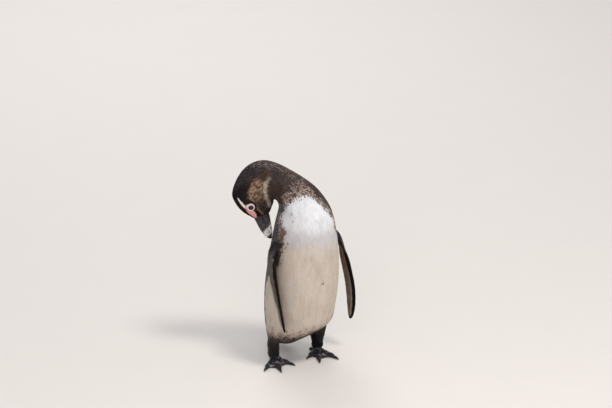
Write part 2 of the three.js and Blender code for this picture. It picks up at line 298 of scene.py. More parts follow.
# ---- materials ----------------------------------------------------------------------------
class Shader:
    """A material's node tree with a Principled shader, and short ways to add to it."""

    def __init__(self, name, **settings):
        self.material = bpy.data.materials.new(name)
        self.material.use_nodes = True
        self.tree = self.material.node_tree
        self.shader = self.tree.nodes["Principled BSDF"]
        for socket, value in settings.items():
            self.shader.inputs[socket.replace("_", " ")].default_value = value

    def node(self, kind, settings=None, **inputs):
        made = self.tree.nodes.new("ShaderNode" + kind)
        for key, value in (settings or {}).items():
            setattr(made, key, value)
        for socket, value in inputs.items():
            self.feed(made.inputs[socket.replace("_", " ")], value)
        return made

    def feed(self, socket, value):
        if isinstance(value, bpy.types.NodeSocket):
            self.tree.links.new(value, socket)
        else:
            socket.default_value = value

    def attribute(self, name):
        return self.node("Attribute", {"attribute_name": name}).outputs["Color"]

    def place(self):
        return self.node("TexCoord").outputs["Object"]

    def noise(self, scale, detail):
        made = self.node("TexNoise", Scale=scale, Detail=detail, Roughness=0.55,
                         Vector=self.place())
        return made.outputs["Fac"]

    def span(self, value, low, high):
        """A 0 to 1 value as a number from low to high."""
        return self.node("MapRange", Value=value, To_Min=low, To_Max=high).outputs["Result"]

    def blend(self, share, a, b, kind="MIX"):
        made = self.node("Mix", {"data_type": "RGBA", "blend_type": kind})
        for socket, value in ((0, share), (6, a), (7, b)):  # the sockets for colours
            self.feed(made.inputs[socket], value)
        return made.outputs[2]

    def tinted(self, tone, red, green, blue):
        return self.blend(1.0, tone, (red, green, blue, 1), "MULTIPLY")

    def math(self, operation, a, b=0):
        made = self.node("Math", {"operation": operation})
        self.feed(made.inputs[0], a)
        self.feed(made.inputs[1], b)
        return made.outputs[0]

    def base(self, colour):
        self.feed(self.shader.inputs["Base Color"], colour)

    def rough(self, value):
        self.feed(self.shader.inputs["Roughness"], value)

    def bump(self, height, distance, strength=1.0):
        made = self.node("Bump", Strength=strength, Distance=distance)
        self.feed(made.inputs["Height"], height)
        self.tree.links.new(made.outputs["Normal"], self.shader.inputs["Normal"])


def rgba(colour):
    return (*[float(c) for c in colour], 1)


def floor_material():
    made = Shader("floor")
    grain = made.noise(9, 4)
    made.base(made.blend(grain, rgba(FLOOR_TONE * 0.97), rgba(FLOOR_TONE)))
    made.rough(0.9)
    return made.material


BARBS = 130.0  # turns of the barbs' wave along a vane, in radians


def plumage_material(name, sheen, gloss, roughness):
    """The colour of each vane, with the barbs that run out from its shaft."""
    made = Shader(name, Sheen_Weight=sheen, Sheen_Roughness=0.5, Specular_IOR_Level=gloss)
    vane = made.node("UVMap", {"uv_map": "Vane"}).outputs["UV"]
    split = made.node("SeparateXYZ", Vector=vane)
    across = made.math("ABSOLUTE", made.math("SUBTRACT", split.outputs["X"], 0.5))
    slant = made.math("SUBTRACT", split.outputs["Y"], made.math("MULTIPLY", across, 0.9))
    barbs = made.math("SINE", made.math("MULTIPLY", slant, BARBS))
    grain = made.noise(900, 2)
    tone = made.attribute("Tone")
    dark = made.tinted(tone, 0.80, 0.79, 0.78)
    made.base(made.blend(made.span(grain, -0.35, 1.35), dark, tone))
    made.rough(made.span(grain, roughness - 0.1, roughness + 0.1))
    made.bump(made.math("ADD", made.math("MULTIPLY", barbs, 0.35), grain), 0.00012, 0.6)
    return made.material


def skin_material():
    """Bare skin of the face, legs and feet, and the down under the coat."""
    made = Shader("skin", Specular_IOR_Level=0.4)
    scales = made.node("TexVoronoi", {"feature": "DISTANCE_TO_EDGE"}, Scale=620.0,
                       Vector=made.place())
    edge = made.span(scales.outputs["Distance"], 0.0, 1.6)
    grain = made.noise(1400, 3)
    tone = made.attribute("Tone")
    dark = made.tinted(tone, 0.62, 0.58, 0.58)
    made.base(made.blend(made.math("MULTIPLY", edge, 2.2), dark, tone))
    made.rough(made.span(grain, 0.42, 0.72))
    made.bump(made.math("ADD", edge, made.math("MULTIPLY", grain, 0.4)), 0.0004, 0.8)
    return made.material


def horn_material(name, low, high):
    """Bill and claws: dark horn with fine lengthwise growth lines."""
    made = Shader(name, Specular_IOR_Level=0.4, Coat_Weight=0.1, Coat_Roughness=0.25)
    grain = made.noise(700, 4)
    fine = made.noise(2600, 2)
    tone = made.attribute("Tone")
    pale = made.tinted(tone, 1.25, 1.2, 1.18)
    made.base(made.blend(made.span(grain, -0.5, 1.2), tone, pale))
    made.rough(made.span(grain, low, high))
    made.bump(made.math("ADD", grain, made.math("MULTIPLY", fine, 0.4)), 0.00025, 0.7)
    return made.material


def eye_material():
    """A wet eyeball: the colours of pupil, iris and white are on its points."""
    made = Shader("eyeball", Specular_IOR_Level=0.3, Coat_Weight=0.25, Coat_Roughness=0.02)
    tone = made.attribute("Tone")
    dark = made.tinted(tone, 0.55, 0.5, 0.5)
    made.base(made.blend(made.noise(1500, 3), dark, tone))
    made.rough(0.08)
    return made.material


# ---- the bird's own frames ----------------------------------------------------------------
BEND_TURN = 24 * RAD
HEAD_TUCK = 22.4 * RAD
HEAD_ROLL = 9 * RAD
EYE_AT = (75.8, 8.7)  # mm back from the bill's tip, and up towards the crown
EYE_RADIUS = 8 * MM

OUT = np.array([-math.cos(BEND_TURN), math.sin(BEND_TURN), 0])
FORE = np.array([-math.sin(BEND_TURN), -math.cos(BEND_TURN), 0])
UP = np.array([0, 0, 1.0])

HEAD_LEFT = FORE * math.cos(HEAD_ROLL) + UP * math.sin(HEAD_ROLL)
HEAD_RISE = UP * math.cos(HEAD_ROLL) - FORE * math.sin(HEAD_ROLL)
HEAD_BACK = HEAD_RISE * math.cos(HEAD_TUCK) + OUT * math.sin(HEAD_TUCK)
HEAD_UP = OUT * math.cos(HEAD_TUCK) - HEAD_RISE * math.sin(HEAD_TUCK)

eye_centre = {side: box_middle("eye_" + side) for side in SIDES}
BETWEEN_EYES = (eye_centre["left"] + eye_centre["right"]) / 2
BILL_TIP = BETWEEN_EYES - HEAD_BACK * (EYE_AT[0] * MM) - HEAD_UP * (EYE_AT[1] * MM)
# The neck folds over a level line through the pivot.
PIVOT = BILL_TIP + OUT * (-8.4 * MM) + FORE * (-15 * MM) + UP * (74.3 * MM)
BODY_AXIS = PIVOT - OUT * (54.6 * MM) - FORE * (8 * MM) + np.array([-3, -1, 0]) * MM


def in_head(points):
    """Millimetres back from the bill's tip, up to the crown and to the head's left."""
    from_tip = (points - BILL_TIP) / MM
    return from_tip @ HEAD_BACK, from_tip @ HEAD_UP, from_tip @ HEAD_LEFT


def from_head(back, up, left):
    """Points from their places in the head's frame, in millimetres."""
    back, up, left = (np.asarray(v, float)[..., None] for v in (back, up, left))
    return BILL_TIP + (HEAD_BACK * back + HEAD_UP * up + HEAD_LEFT * left) * MM


def round_neck(points):
    """The turn of a point about the neck's fold in radians, from the trunk up and over."""
    rel = points - PIVOT
    return np.arctan2(rel @ UP, -(rel @ OUT))


def round_body(points):
    """The turn of a point about the trunk in degrees, 0 ahead and 90 at the bird's left."""
    x, y = points[:, 0] - BODY_AXIS[0], points[:, 1] - BODY_AXIS[1]
    return np.degrees(np.arctan2(x, -y))


# ---- distance fields ----------------------------------------------------------------------
FINE = 1.2 * MM
COARSE = 2.2 * MM
BAND = 11  # cells of distance kept on each side of a surface
MARGIN = 9 * MM
GRID_LOW = np.array(cad_box[0]) - MARGIN
GRID_SHAPE = tuple(np.ceil((np.array(cad_box[1]) + MARGIN - GRID_LOW) / FINE).astype(int) + 1)


def distance(points, faces, sides="triangles"):
    """Signed distance to a closed mesh on the fine grid, negative inside."""
    grid = openvdb.FloatGrid.createLevelSetFromPolygons(
        np.ascontiguousarray(points - GRID_LOW, np.float32),
        transform=openvdb.createLinearTransform(voxelSize=FINE),
        halfWidth=BAND, **{sides: np.ascontiguousarray(faces, np.uint32)})
    values = np.empty(GRID_SHAPE, np.float32)
    grid.copyToArray(values)
    return values


def surface(values, cell, level=0.0):
    """Points, triangles and quads where a grid's values are at a level."""
    grid = openvdb.FloatGrid(float(values.max()))
    grid.transform = openvdb.createLinearTransform(voxelSize=cell)
    grid.copyFromArray(np.ascontiguousarray(values, np.float32))
    points, triangles, quads = grid.convertToPolygons(isovalue=float(level))
    return points + GRID_LOW, triangles, quads


def closed_up(values, reach):
    """The field with its gaps and creases narrower than twice the reach filled."""
    points, triangles, quads = surface(values, FINE, reach)
    split = np.vstack([quads[:, [0, 1, 2]], quads[:, [0, 2, 3]], triangles.reshape(-1, 3)])
    return distance(points, split[:, ::-1]) + reach


def blurred(values, spread):
    """A Gaussian blur, spread in metres."""
    sigma = spread / FINE
    reach = int(math.ceil(2.6 * sigma))
    weights = np.exp(-0.5 * (np.arange(-reach, reach + 1) / sigma) ** 2)
    weights /= weights.sum()
    for axis in range(3):
        padding = [(0, 0)] * 3
        padding[axis] = (reach, reach)
        padded = np.pad(values, padding, mode="edge")
        values = np.zeros(GRID_SHAPE, np.float32)
        for k, weight in enumerate(weights):
            window = [slice(None)] * 3
            window[axis] = slice(k, k + GRID_SHAPE[axis])
            values += np.float32(weight) * padded[tuple(window)]
    return values


def joined(a, b, fillet):
    """The union of two fields with a fillet in the crease."""
    near = np.maximum(fillet - np.abs(a - b), 0)
    return np.minimum(a, b) - near * near / (4 * fillet)


class Field:
    """A distance field that can be read at any points."""

    def __init__(self, values):
        self.values = values.ravel()

    def at(self, points):
        place = np.clip((points - GRID_LOW) / FINE, 0, np.array(GRID_SHAPE) - 1.001)
        cell = place.astype(np.int64)
        part = place - cell
        rows = np.array([GRID_SHAPE[1] * GRID_SHAPE[2], GRID_SHAPE[2], 1])
        first = cell @ rows
        total = np.zeros(len(points))
        for corner in np.ndindex(2, 2, 2):
            share = np.prod(np.where(corner, part, 1 - part), axis=1)
            total += share * self.values[first + np.dot(corner, rows)]
        return total

    def normal(self, points, reach=FINE):
        slopes = [self.at(points + step) - self.at(points - step) for step in np.eye(3) * reach]
        return unit(np.stack(slopes, -1))

    def onto(self, points, level=0.0, steps=2):
        """The points moved to where the field is at the level, and the normals there."""
        for _ in range(steps):
            points = points - self.normal(points) * (self.at(points) - level)[:, None]
        return points, self.normal(points)


# How deep the coat is on each part, from the skin to the solids' surface.
COAT = {"body": 0.8 * MM, "head": 0.8 * MM, "flipper": 0.3 * MM, "leg": 1.3 * MM}
# Between these heights a flipper melts into the shoulder.
FLIPPER_FREE = {"left": (188 * MM, 228 * MM), "right": (205 * MM, 238 * MM)}
COVERTS = (30 * MM, 44 * MM)  # heights where the tail's coverts end
TAIL_CORE = 2.6 * MM  # how deep the tail's flesh is under its quills
FOLD_DEPTH, FOLD_TURN = 0.7 * MM, 11 * RAD
FOLD_REACH = 66 * MM
LEG_BARE = (11 * MM, 20 * MM)
THIGH = (34 * MM, 48 * MM, 90 * MM, 115 * MM)  # heights where legs and tail melt into the trunk
EYE_MOUND = 7.9 * MM  # radius of the flesh round an eye
GAPS_CLOSED = 0.9 * MM  # half the width of the cuts between the solids that are filled
BILL_SUNK = 1.2 * MM  # how far the flesh keeps back from the bill
# How far each part's facets are blurred.
BLUR = {"body": 5 * MM, "face": 1.8 * MM, "limb": 1.3 * MM, "hip": 6 * MM,
        "flipper": 0.6 * MM, "shoulder": 5 * MM, "foot": 1.1 * MM}
# Fillets where parts meet.
EYE_FILLET, FOOT_FILLET = 5 * MM, 3 * MM
FLIPPER_FILLET, SHOULDER_FILLET = 0.4 * MM, 12 * MM


grid_axes = [GRID_LOW[i] + np.arange(GRID_SHAPE[i]) * FINE for i in range(3)]


def far_from(place):
    """Distance of the fine grid's cells from a point."""
    x, y, z = np.meshgrid(*grid_axes, indexing="ij", sparse=True)
    far = np.sqrt((x - place[0]) ** 2 + (y - place[1]) ** 2 + (z - place[2]) ** 2)
    return far.astype(np.float32)


def folds():
    """Shallow folds that run out from the inside of the neck's bend."""
    made = np.zeros(GRID_SHAPE, np.float32)
    near = tuple(slice(*np.searchsorted(axis, [middle - FOLD_REACH, middle + FOLD_REACH]))
                 for axis, middle in zip(grid_axes, PIVOT))
    x, y, z = np.meshgrid(*(axis[part] for axis, part in zip(grid_axes, near)),
                          indexing="ij", sparse=True)
    out = (x - PIVOT[0]) * OUT[0] + (y - PIVOT[1]) * OUT[1]
    rise = z - PIVOT[2]
    bend, far = np.arctan2(rise, -out), np.hypot(out, rise)
    wave = np.sin(bend / FOLD_TURN * math.pi + 0.8 * np.sin(y / (11 * MM)))
    part = ramp(12 * MM, 18 * MM, far) * (1 - ramp(34 * MM, 62 * MM, far))
    part = part * ramp(10 * RAD, 40 * RAD, bend) * (1 - ramp(125 * RAD, 150 * RAD, bend))
    made[near] = -FOLD_DEPTH * wave * part
    return made


def build_fields():
    """Fields of the coat's surface, of the skin, and of each part's own solid."""
    solid = {name: distance(*node_mesh(name)) for name in FLESH}
    bill = np.minimum(distance(*node_mesh("bill_upper")), distance(*node_mesh("bill_lower")))
    height = grid_axes[2][None, None, :]
    core = np.minimum(np.minimum(solid["trunk"], solid["neck"]), solid["head"])
    core = closed_up(np.minimum(core, bill + BILL_SUNK), GAPS_CLOSED)
    face = 1 - ramp(38 * MM, 58 * MM, far_from(from_head(80, 0, 0)))
    core = blurred(core, BLUR["body"]) * (1 - face) + blurred(core, BLUR["face"]) * face
    core = core + folds()
    for name in ("tail", "leg_left", "leg_right"):
        low = ramp(THIGH[0], THIGH[1], height)
        own = blurred(solid[name], BLUR["limb"])
        if name == "tail":
            own = own + TAIL_CORE * (1 - ramp(*COVERTS, height))
        core = joined(core, own, (4 + 8 * low) * MM)
    melt = ramp(THIGH[0], THIGH[1], height) * (1 - ramp(THIGH[2], THIGH[3], height))
    core = blurred(core, BLUR["hip"]) * melt + core * (1 - melt)
    leg = ramp(*LEG_BARE, height)
    depth = (COAT["body"] * (1 - face) + COAT["head"] * face) * leg

    outer, inner = core, core + depth
    for side in SIDES:
        ball = far_from(eye_centre[side])
        outer = joined(outer, ball - EYE_MOUND, EYE_FILLET)
        inner = joined(inner, ball - EYE_MOUND + COAT["head"], EYE_FILLET)
        sunk = ramp(*FLIPPER_FREE[side], height)
        own = blurred(solid["flipper_" + side], BLUR["flipper"]) * (1 - sunk)
        own = own + blurred(solid["flipper_" + side], BLUR["shoulder"]) * sunk
        fillet = FLIPPER_FILLET + SHOULDER_FILLET * sunk
        outer = joined(outer, own, fillet)
        inner = joined(inner, own + COAT["flipper"], fillet)
        foot = blurred(solid["foot_" + side], BLUR["foot"])
        outer, inner = joined(outer, foot, FOOT_FILLET), joined(inner, foot, FOOT_FILLET)
    return Field(outer), Field(inner), {name: Field(v) for name, v in solid.items()}


outer_field, skin_field, part_field = build_fields()


def part_shares(points):
    """How much each part of FLESH rules at each point, as an array point, part."""
    far = np.stack([part_field[name].at(points) for name in FLESH], -1)
    near = np.exp(-(far - far.min(1, keepdims=True)) / (3 * MM))
    return near / near.sum(1, keepdims=True)


def share_of(shares, *names):
    """The share of these parts together, from what part_shares gives."""
    return sum(shares[:, FLESH.index(name)] for name in names)


# ---- markings -----------------------------------------------------------------------------
# The white bib and belly, as an outline of turns about the trunk in degrees and heights in mm.
BIB = np.array([
    (-98, -20), (-100, 60), (-101, 120), (-98, 168), (-86, 188), (-73, 204), (-66, 215),
    (-61, 230), (-61, 258), (-64, 272), (-60, 284), (-66, 292), (-71, 300), (-79, 310), (-72, 324),
    (-55, 338), (-38, 346), (-21, 351), (-1, 349), (16, 341), (31, 328), (41, 313),
    (51, 299), (58, 285), (64, 268), (71, 250), (80, 232), (92, 212), (106, 150),
    (107, 60), (105, -20)], float)
GIRTH = 60 * RAD  # mm round the trunk for each degree, at a radius of 60 mm

WHITE = srgb(241, 241, 245)
# Cream of the lower belly: partly a real tint, partly painted shade under the breast.
CREAM_AND_SHADE = srgb(212, 198, 184)
SHADE = srgb(200, 199, 205)
DIRT = srgb(112, 88, 70)
# Near black at the belly's lower edge: partly darker feather edges, partly painted shade on the
# underside.
HEM_DARK_AND_SHADE = DIRT * 0.16
FROST = srgb(222, 198, 186)
# Grey for pale vane tips: the dark plumage's grain, and a painted sheen where it faces up.
GRAIN_AND_SHEEN = srgb(138, 126, 126)
NECK = srgb(66, 54, 49)
NECK_TOP = srgb(48, 42, 45)
BACK = srgb(46, 44, 49)
RUST = srgb(126, 88, 60)
CROWN = srgb(27, 22, 24)
FACE = srgb(64, 48, 37)
CHEEK = srgb(150, 123, 101)
PALE = srgb(218, 204, 184)
CRESCENT_END = srgb(150, 138, 126)
BROW = srgb(244, 236, 222)
GOLD = srgb(176, 142, 104)
PINK = srgb(232, 162, 158)
PALE_PINK = srgb(246, 222, 220)
BLACK = srgb(15, 13, 15)
FLIPPER_OUT = srgb(102, 92, 85)
FLIPPER_IN = srgb(146, 127, 112)
FLIPPER_RUST = srgb(160, 120, 86)
FOOT = srgb(27, 25, 29)
FOOT_PALE_AND_SHEEN = srgb(186, 176, 188)

FEATHERED = 14  # mm, the shanks are feathered down to here
BOOT = {"left": (50, 43), "right": (42, 34)}  # mm, where each leg turns black
HEM_RISE = 16  # mm, how much the belly's lower edge rises towards the bird's left


def near_path(path, x, y):
    """Distance of points to an open path of (x, y)."""
    nearest = np.full(len(x), 1e9)
    for (ax, ay), (bx, by) in zip(path[:-1], path[1:]):
        dx, dy = bx - ax, by - ay
        t = np.clip(((x - ax) * dx + (y - ay) * dy) / (dx * dx + dy * dy), 0, 1)
        nearest = np.minimum(nearest, np.hypot(x - ax - t * dx, y - ay - t * dy))
    return nearest


def inside_outline(outline, x, y):
    """Signed distance of points to a closed outline, positive inside."""
    path = [*outline, outline[0]]
    nearest = near_path(path, x, y)
    inside = np.zeros(len(x), bool)
    for (ax, ay), (bx, by) in zip(path[:-1], path[1:]):
        if by != ay:
            crosses = (ay > y) != (by > y)
            inside ^= crosses & (x < ax + (y - ay) * (bx - ax) / (by - ay))
    return np.where(inside, nearest, -nearest)


# Marks of the face as [back, up] in the head's frame, mm. The first is a closed outline.
BARE_FACE = [(84, 13), (81.5, 17.8), (77, 20.2), (70, 20.4), (62, 18), (55, 14), (49, 10),
             (49, 6), (56, 4.6), (63, 5.6), (69, 8.5)]
BROW_STRIPE = [(78, 19.5), (85, 21.8), (92, 24), (97, 25.6)]
CRESCENT = [(117, -42), (113, -36), (107, -31), (98, -26.5), (88, -24.5), (79, -24.5),
            (70, -25.5), (61, -25)]
GOLD_STROKE = [(67, -1.5), (60, -4), (53, -6.5)]
LORE = [(71, 0.5), (65, 1.8), (58, 2), (50, 0)]
CHEEK_AT, CHEEK_HALF = (101, -12), (25, 16)  # middle and half sizes of the rust on the cheek


def bare_face(back, up):
    """Signed distance to the bare skin of the face with the ring round the eye."""
    ring = 7.2 - np.hypot(back - EYE_AT[0], up - EYE_AT[1])
    return np.maximum(inside_outline(BARE_FACE, back, up), ring)


def bare_share(points):
    """1 on the bare skin round the eye and down to the bill, and on the feet."""
    back, up, left = in_head(points)
    face = (back > 48) & (back < 92) & (up > -4) & (np.abs(left) > 4)
    face = face & (bare_face(back, up) > 0)
    shares = part_shares(points)
    feet = share_of(shares, "foot_left", "foot_right")
    low = (points[:, 2] < FEATHERED * MM) & (points[:, 2] > 0)
    quills = (share_of(shares, "tail") > 0.5) & (points[:, 2] < COVERTS[0])
    return np.where(face | quills | (feet > 0.5) | (low & (feet > 0.02)), 1.0, 0.0)


def head_tone(points, tone):
    """Lays the marks of the head over a tone."""
    back, up, left = in_head(points)
    wobble = (cloud(points, 4 * MM, 3) - 0.5) * 5
    speck = cloud(points, 1.7 * MM, 5)
    streak = cloud(points, 2.4 * MM, 8)
    on_head = ramp(44, 50, back) * ramp(-56, -48, up) * (1 - ramp(116, 132, back + 0.3 * up))
    on_head = on_head * (np.abs(left) < 40)
    crown = ramp(-2, 12, up + 0.25 * (back - 90) + wobble)
    # The rust on the cheek is a slanting oval.
    from_middle = back - CHEEK_AT[0], up - CHEEK_AT[1]
    along = 0.8 * from_middle[0] - 0.6 * from_middle[1]
    across = 0.6 * from_middle[0] + 0.8 * from_middle[1]
    patch = np.hypot(along / CHEEK_HALF[0], across / CHEEK_HALF[1]) + wobble * 0.06
    cheek = (1 - ramp(0.55, 1.15, patch)) * (0.2 + 0.8 * ramp(0.3, 0.62, streak))
    past = ramp(0, 5, -25 - up - 0.32 * (back - 80).clip(0)) * ramp(50, 60, back)
    behind = near_path(CRESCENT, back, up) + wobble * 0.5 + (speck - 0.5) * 3
    crescent = (1 - ramp(0.8, 5.6, behind)) * (0.45 + 0.55 * ramp(118, 106, back))
    strong = ramp(74, 92, back) * ramp(122, 106, back)
    pale = mix(CRESCENT_END, PALE, strong * ramp(0.25, 0.5, speck))
    stripe = near_path(BROW_STRIPE, back, up) + wobble * 0.08 + 1.5 * ramp(82, 99, back)
    stroke = near_path(GOLD_STROKE, back, up) + 0.2 * wobble
    ring = np.hypot(back - EYE_AT[0], up - EYE_AT[1])
    under = 1 - ramp(0, 3, up - EYE_AT[1] - 0.6 * (back - EYE_AT[0]))
    flush = mix(PINK, PALE_PINK, ramp(9.5, 7, ring) + 0.5 * ramp(0.6, 0.8, streak))
    skull = layered(FACE * (0.55 + 0.8 * speck[:, None]),
                    (CROWN, crown),
                    (CROWN, ramp(72, 60, back + 0.4 * up) * 0.75),
                    (CHEEK, cheek),
                    (NECK * (0.6 + 0.9 * speck[:, None]), past),
                    (pale, crescent * (0.7 + 0.3 * ramp(0.3, 0.55, streak))),
                    (BROW, 1 - ramp(2.1, 3.0, stripe)),
                    (GOLD, 0.3 * (1 - ramp(0.3, 3.0, stroke))),
                    (BLACK, 1 - ramp(1.4, 2.8, near_path(LORE, back, up))),
                    (BLACK, (1 - ramp(9.2, 11, ring + 0.3 * wobble)) * under),
                    (flush, ramp(0.0, 0.6, bare_face(back, up)) * (back > 49)))
    return mix(tone, skull, on_head)


def flipper_edges(side):
    """Heights down a flipper and its leading and trailing edges there, along Y."""
    points, _ = node_mesh("flipper_" + side)
    levels = np.linspace(points[:, 2].min(), points[:, 2].max(), 24)
    reach = 1.2 * (levels[1] - levels[0])
    ahead, behind = [], []
    for level in levels:
        near = points[np.abs(points[:, 2] - level) < reach]
        near = near if len(near) else points
        ahead.append(near[:, 1].min())
        behind.append(near[:, 1].max())
    return levels, np.array(ahead), np.array(behind)


edges_of = {side: flipper_edges(side) for side in SIDES}


def flipper_tone(points, normals, side):
    """A flipper's dark outside, its pale streaked inside and its black edges and tip."""
    levels, ahead, behind = edges_of[side]
    from_lead = (points[:, 1] - np.interp(points[:, 2], levels, ahead)) / MM
    from_trail = (np.interp(points[:, 2], levels, behind) - points[:, 1]) / MM
    down = (points[:, 2].clip(levels[0], levels[-1]) - levels[0]) / (levels[-1] - levels[0])
    blotch = cloud(points, 14 * MM, 11, (1, 1, 2.5))
    fine = cloud(points, 3 * MM, 12, (1, 1, 3))
    outside = ramp(-0.25, 0.25, normals[:, 0] * SIDES[side])
    top = layered(FLIPPER_OUT,
                  (FLIPPER_OUT * 1.7, 0.7 * ramp(0.45, 0.8, blotch)),
                  (RUST * 0.8, 0.5 * ramp(6, 1, from_trail) * ramp(0.2, 0.5, down)),
                  (BLACK, 1 - ramp(5, 8, from_lead + 3 * (fine - 0.5))))
    middle = np.exp(-((from_trail - 15) / 6) ** 2)
    streaked = np.exp(-((from_lead - 13) / 2) ** 2) * ramp(0.6, 0.3, down)
    under = layered(FLIPPER_IN,
                    (FLIPPER_RUST, ramp(0.4, 0.75, down) * ramp(0.3, 0.6, blotch)),
                    (FLIPPER_OUT, (0.25 + 0.6 * middle) * ramp(0.3, 0.6, fine)),
                    (PALE, 0.6 * streaked * ramp(0.2, 0.5, fine)),
                    (BLACK, 1 - ramp(9, 11.5, from_lead + 2 * (fine - 0.5))),
                    (BLACK, 1 - ramp(2, 4, from_trail)))
    tip = ramp(10, 6, (points[:, 2] - levels[0]) / MM)
    return layered(under, (top, outside), (BLACK, tip))


# Small dark specks of dirt on the front, as turn, height and size.
SPECKS = [(-47, 318, 1.9), (-43, 306, 2.0), (-20, 313, 1.3), (-49, 262, 2.7), (10, 182, 2.6),
          (22, 190, 1.2), (-58, 205, 1.4), (-10, 236, 1.1), (34, 262, 1.2)]


def belly_tone(points, turn, height):
    """White on the breast and cream below it, partly a real tint and partly painted shade; soiled
    at the lower edge, and near black at the edge itself, partly painted shade on the underside.
    """
    wide = cloud(points, 22 * MM, 1)
    streaks = cloud(points, 5 * MM, 4, (1, 1, 3.5))
    fine = cloud(points, 2.4 * MM, 9, (1, 1, 5))
    rise = height - 280 + 0.1 * turn + (wide - 0.5) * 16
    # Cream below the white breast is partly painted shade, where the breast shades the belly; SHADE
    # is a painted grey shade band where the breast turns under.
    tone = mix(CREAM_AND_SHADE, WHITE, ramp(-34, 24, rise))
    tone = mix(tone, SHADE, 0.7 * np.exp(-((rise + 12) / 18) ** 2))
    tone = mix(tone, tone * 0.92, ramp(0.4, 0.8, wide))
    tone = mix(tone, tone * np.array([0.93, 0.9, 0.86]), 0.8 * ramp(0.45, 0.75, streaks))
    hem = height - HEM_RISE * ramp(-45, 40, turn)
    soiled = ramp(92, 58, hem + (streaks - 0.5) * 56) * (0.3 + 0.7 * ramp(0.35, 0.6, fine))
    tone = mix(tone, DIRT, soiled * 0.9)
    for at, high, size in SPECKS:
        far = np.hypot((turn - at) * GIRTH, height - high) + (fine - 0.5) * 0.8 * size
        tone = mix(tone, DIRT * 0.5, 0.8 * (1 - ramp(0.5 * size, 1.1 * size, far)))
    # Near black along the lower edge: painted shade on the underside over darker feather edges.
    return mix(tone, HEM_DARK_AND_SHADE, ramp(66, 54, hem + (fine - 0.5) * 24))


def foot_tone(points, normals):
    """Black with scattered greyish pink on the upper side of the webs and toes: partly real
    mottling, partly a painted highlight.
    """
    blotch = 0.6 * cloud(points, 6 * MM, 21) + 0.4 * cloud(points, 1.6 * MM, 22)
    # Painted highlight in part: the pale shows only where the feet face up.
    pale = ramp(0.56, 0.7, blotch) * ramp(0.0, 0.6, normals[:, 2])
    pale = pale * ramp(16, 8, points[:, 2] / MM)
    tint = mix(FOOT_PALE_AND_SHEEN, PALE_PINK * 0.7, cloud(points, 9 * MM, 23))
    return mix(FOOT, tint, 0.6 * pale)


# Heights in mm over which marks of the trunk and neck come in, or go.
BROWN_IN = (268, 330)  # the back's black turns to the neck's brown
BAND_IN = (222, 250)  # the frosted band outside the bib's edge
RUST_IN, RUST_OUT = (196, 212), (282, 296)  # the rust on the bib's edge
SHOULDER_SHADE_IN, SHOULDER_SHADE_OUT = (176, 200), (256, 282)  # painted shade: the black over the flippers' roots
FROST_LEAST = 0.13  # how frosted plain dark vanes are


def trunk_tone(points, normals, height, speck):
    """The colour of trunk and neck at points, and how pale the vanes' tips are there, from frost
    and from a painted highlight where the top of the neck faces up.
    """
    turn, bend = round_body(points), np.degrees(round_neck(points))
    wide, broad = cloud(points, 22 * MM, 1), cloud(points, 7 * MM, 2)
    bib = inside_outline(BIB * [GIRTH, 1], turn * GIRTH, height)
    bib = bib + (broad - 0.5) * 6 + (speck - 0.5) * (5 + 11 * ramp(214, 250, height))
    past = -bib + 8 * (broad - 0.5)

    # The frosted band along the bib is wider high up on the bird's right.
    reach = 9 + 9 * ramp(-40, -62, turn) * ramp(300, 330, height)
    band = (1 - ramp(reach, reach + 9, past)) * ramp(*BAND_IN, height)
    throat = (1 - ramp(24, 50, past)) * ramp(330, 345, height) * ramp(12, -30, turn)
    throat = throat * (1 - ramp(56, 76, bend))
    # A painted highlight: the vanes' tips are paler where the top of the neck faces up.
    top_highlight = ramp(0.35, 0.85, normals[:, 2]) * ramp(340, 370, height)
    rust = (1 - ramp(2, 8, np.abs(bib))) * (0.3 + 0.7 * ramp(236, 256, height))
    rust = rust * ramp(*RUST_IN, height) * (1 - ramp(*RUST_OUT, height))
    # Painted shade: the plumage goes black over the flippers' roots, beside the bib's edge.
    shoulder = ramp(3, 8, -bib) * ramp(*SHOULDER_SHADE_IN, height) * (1 - ramp(*SHOULDER_SHADE_OUT, height))
    shoulder = shoulder * (1 - ramp(76, 92, np.abs(turn) + 14 * (broad - 0.5)))

    dark = mix(BACK, mix(NECK, NECK_TOP, ramp(60, 110, bend)), ramp(*BROWN_IN, height))
    dark = mix(dark, dark * 0.7, ramp(0.4, 0.8, wide))
    tone = layered(dark,
                   (NECK * 1.5, band),
                   (belly_tone(points, turn, height), ramp(-2, 2, bib)),
                   (RUST * (0.6 + 0.6 * speck[:, None]), 0.8 * rust),
                   (BLACK, 0.85 * shoulder))
    tips = np.maximum(0.72 * band, 0.5 * throat)
    tips = np.maximum(np.maximum(tips, 0.4 * top_highlight), FROST_LEAST)
    return tone, tips * (1 - ramp(-4, 4, bib)) * (1 - shoulder) * (1 - rust)


def limb_tone(points, normals, height, speck, tone, tips):
    """Lays flippers, legs and tail over a tone, and takes the frost and the painted highlight off
    their vanes' tips.
    """
    shares = part_shares(points)
    for side in SIDES:
        share = share_of(shares, "flipper_" + side)
        tone = mix(tone, BACK, ramp(0.12, 0.4, share))
        free = ramp(0.35, 0.65, share) * (1 - ramp(226, 250, height))
        tone = mix(tone, flipper_tone(points, normals, side), free)
        tips = tips * (1 - share)
        leg = share_of(shares, "leg_" + side, "foot_" + side)
        leg = ramp(0.3, 0.6, leg) * ramp(*BOOT[side], height + (speck - 0.5) * 12)
        tone = mix(tone, foot_tone(points, normals), leg)
        tips = tips * (1 - leg)
    return mix(tone, BACK * 0.6, ramp(0.4, 0.6, share_of(shares, "tail"))), tips


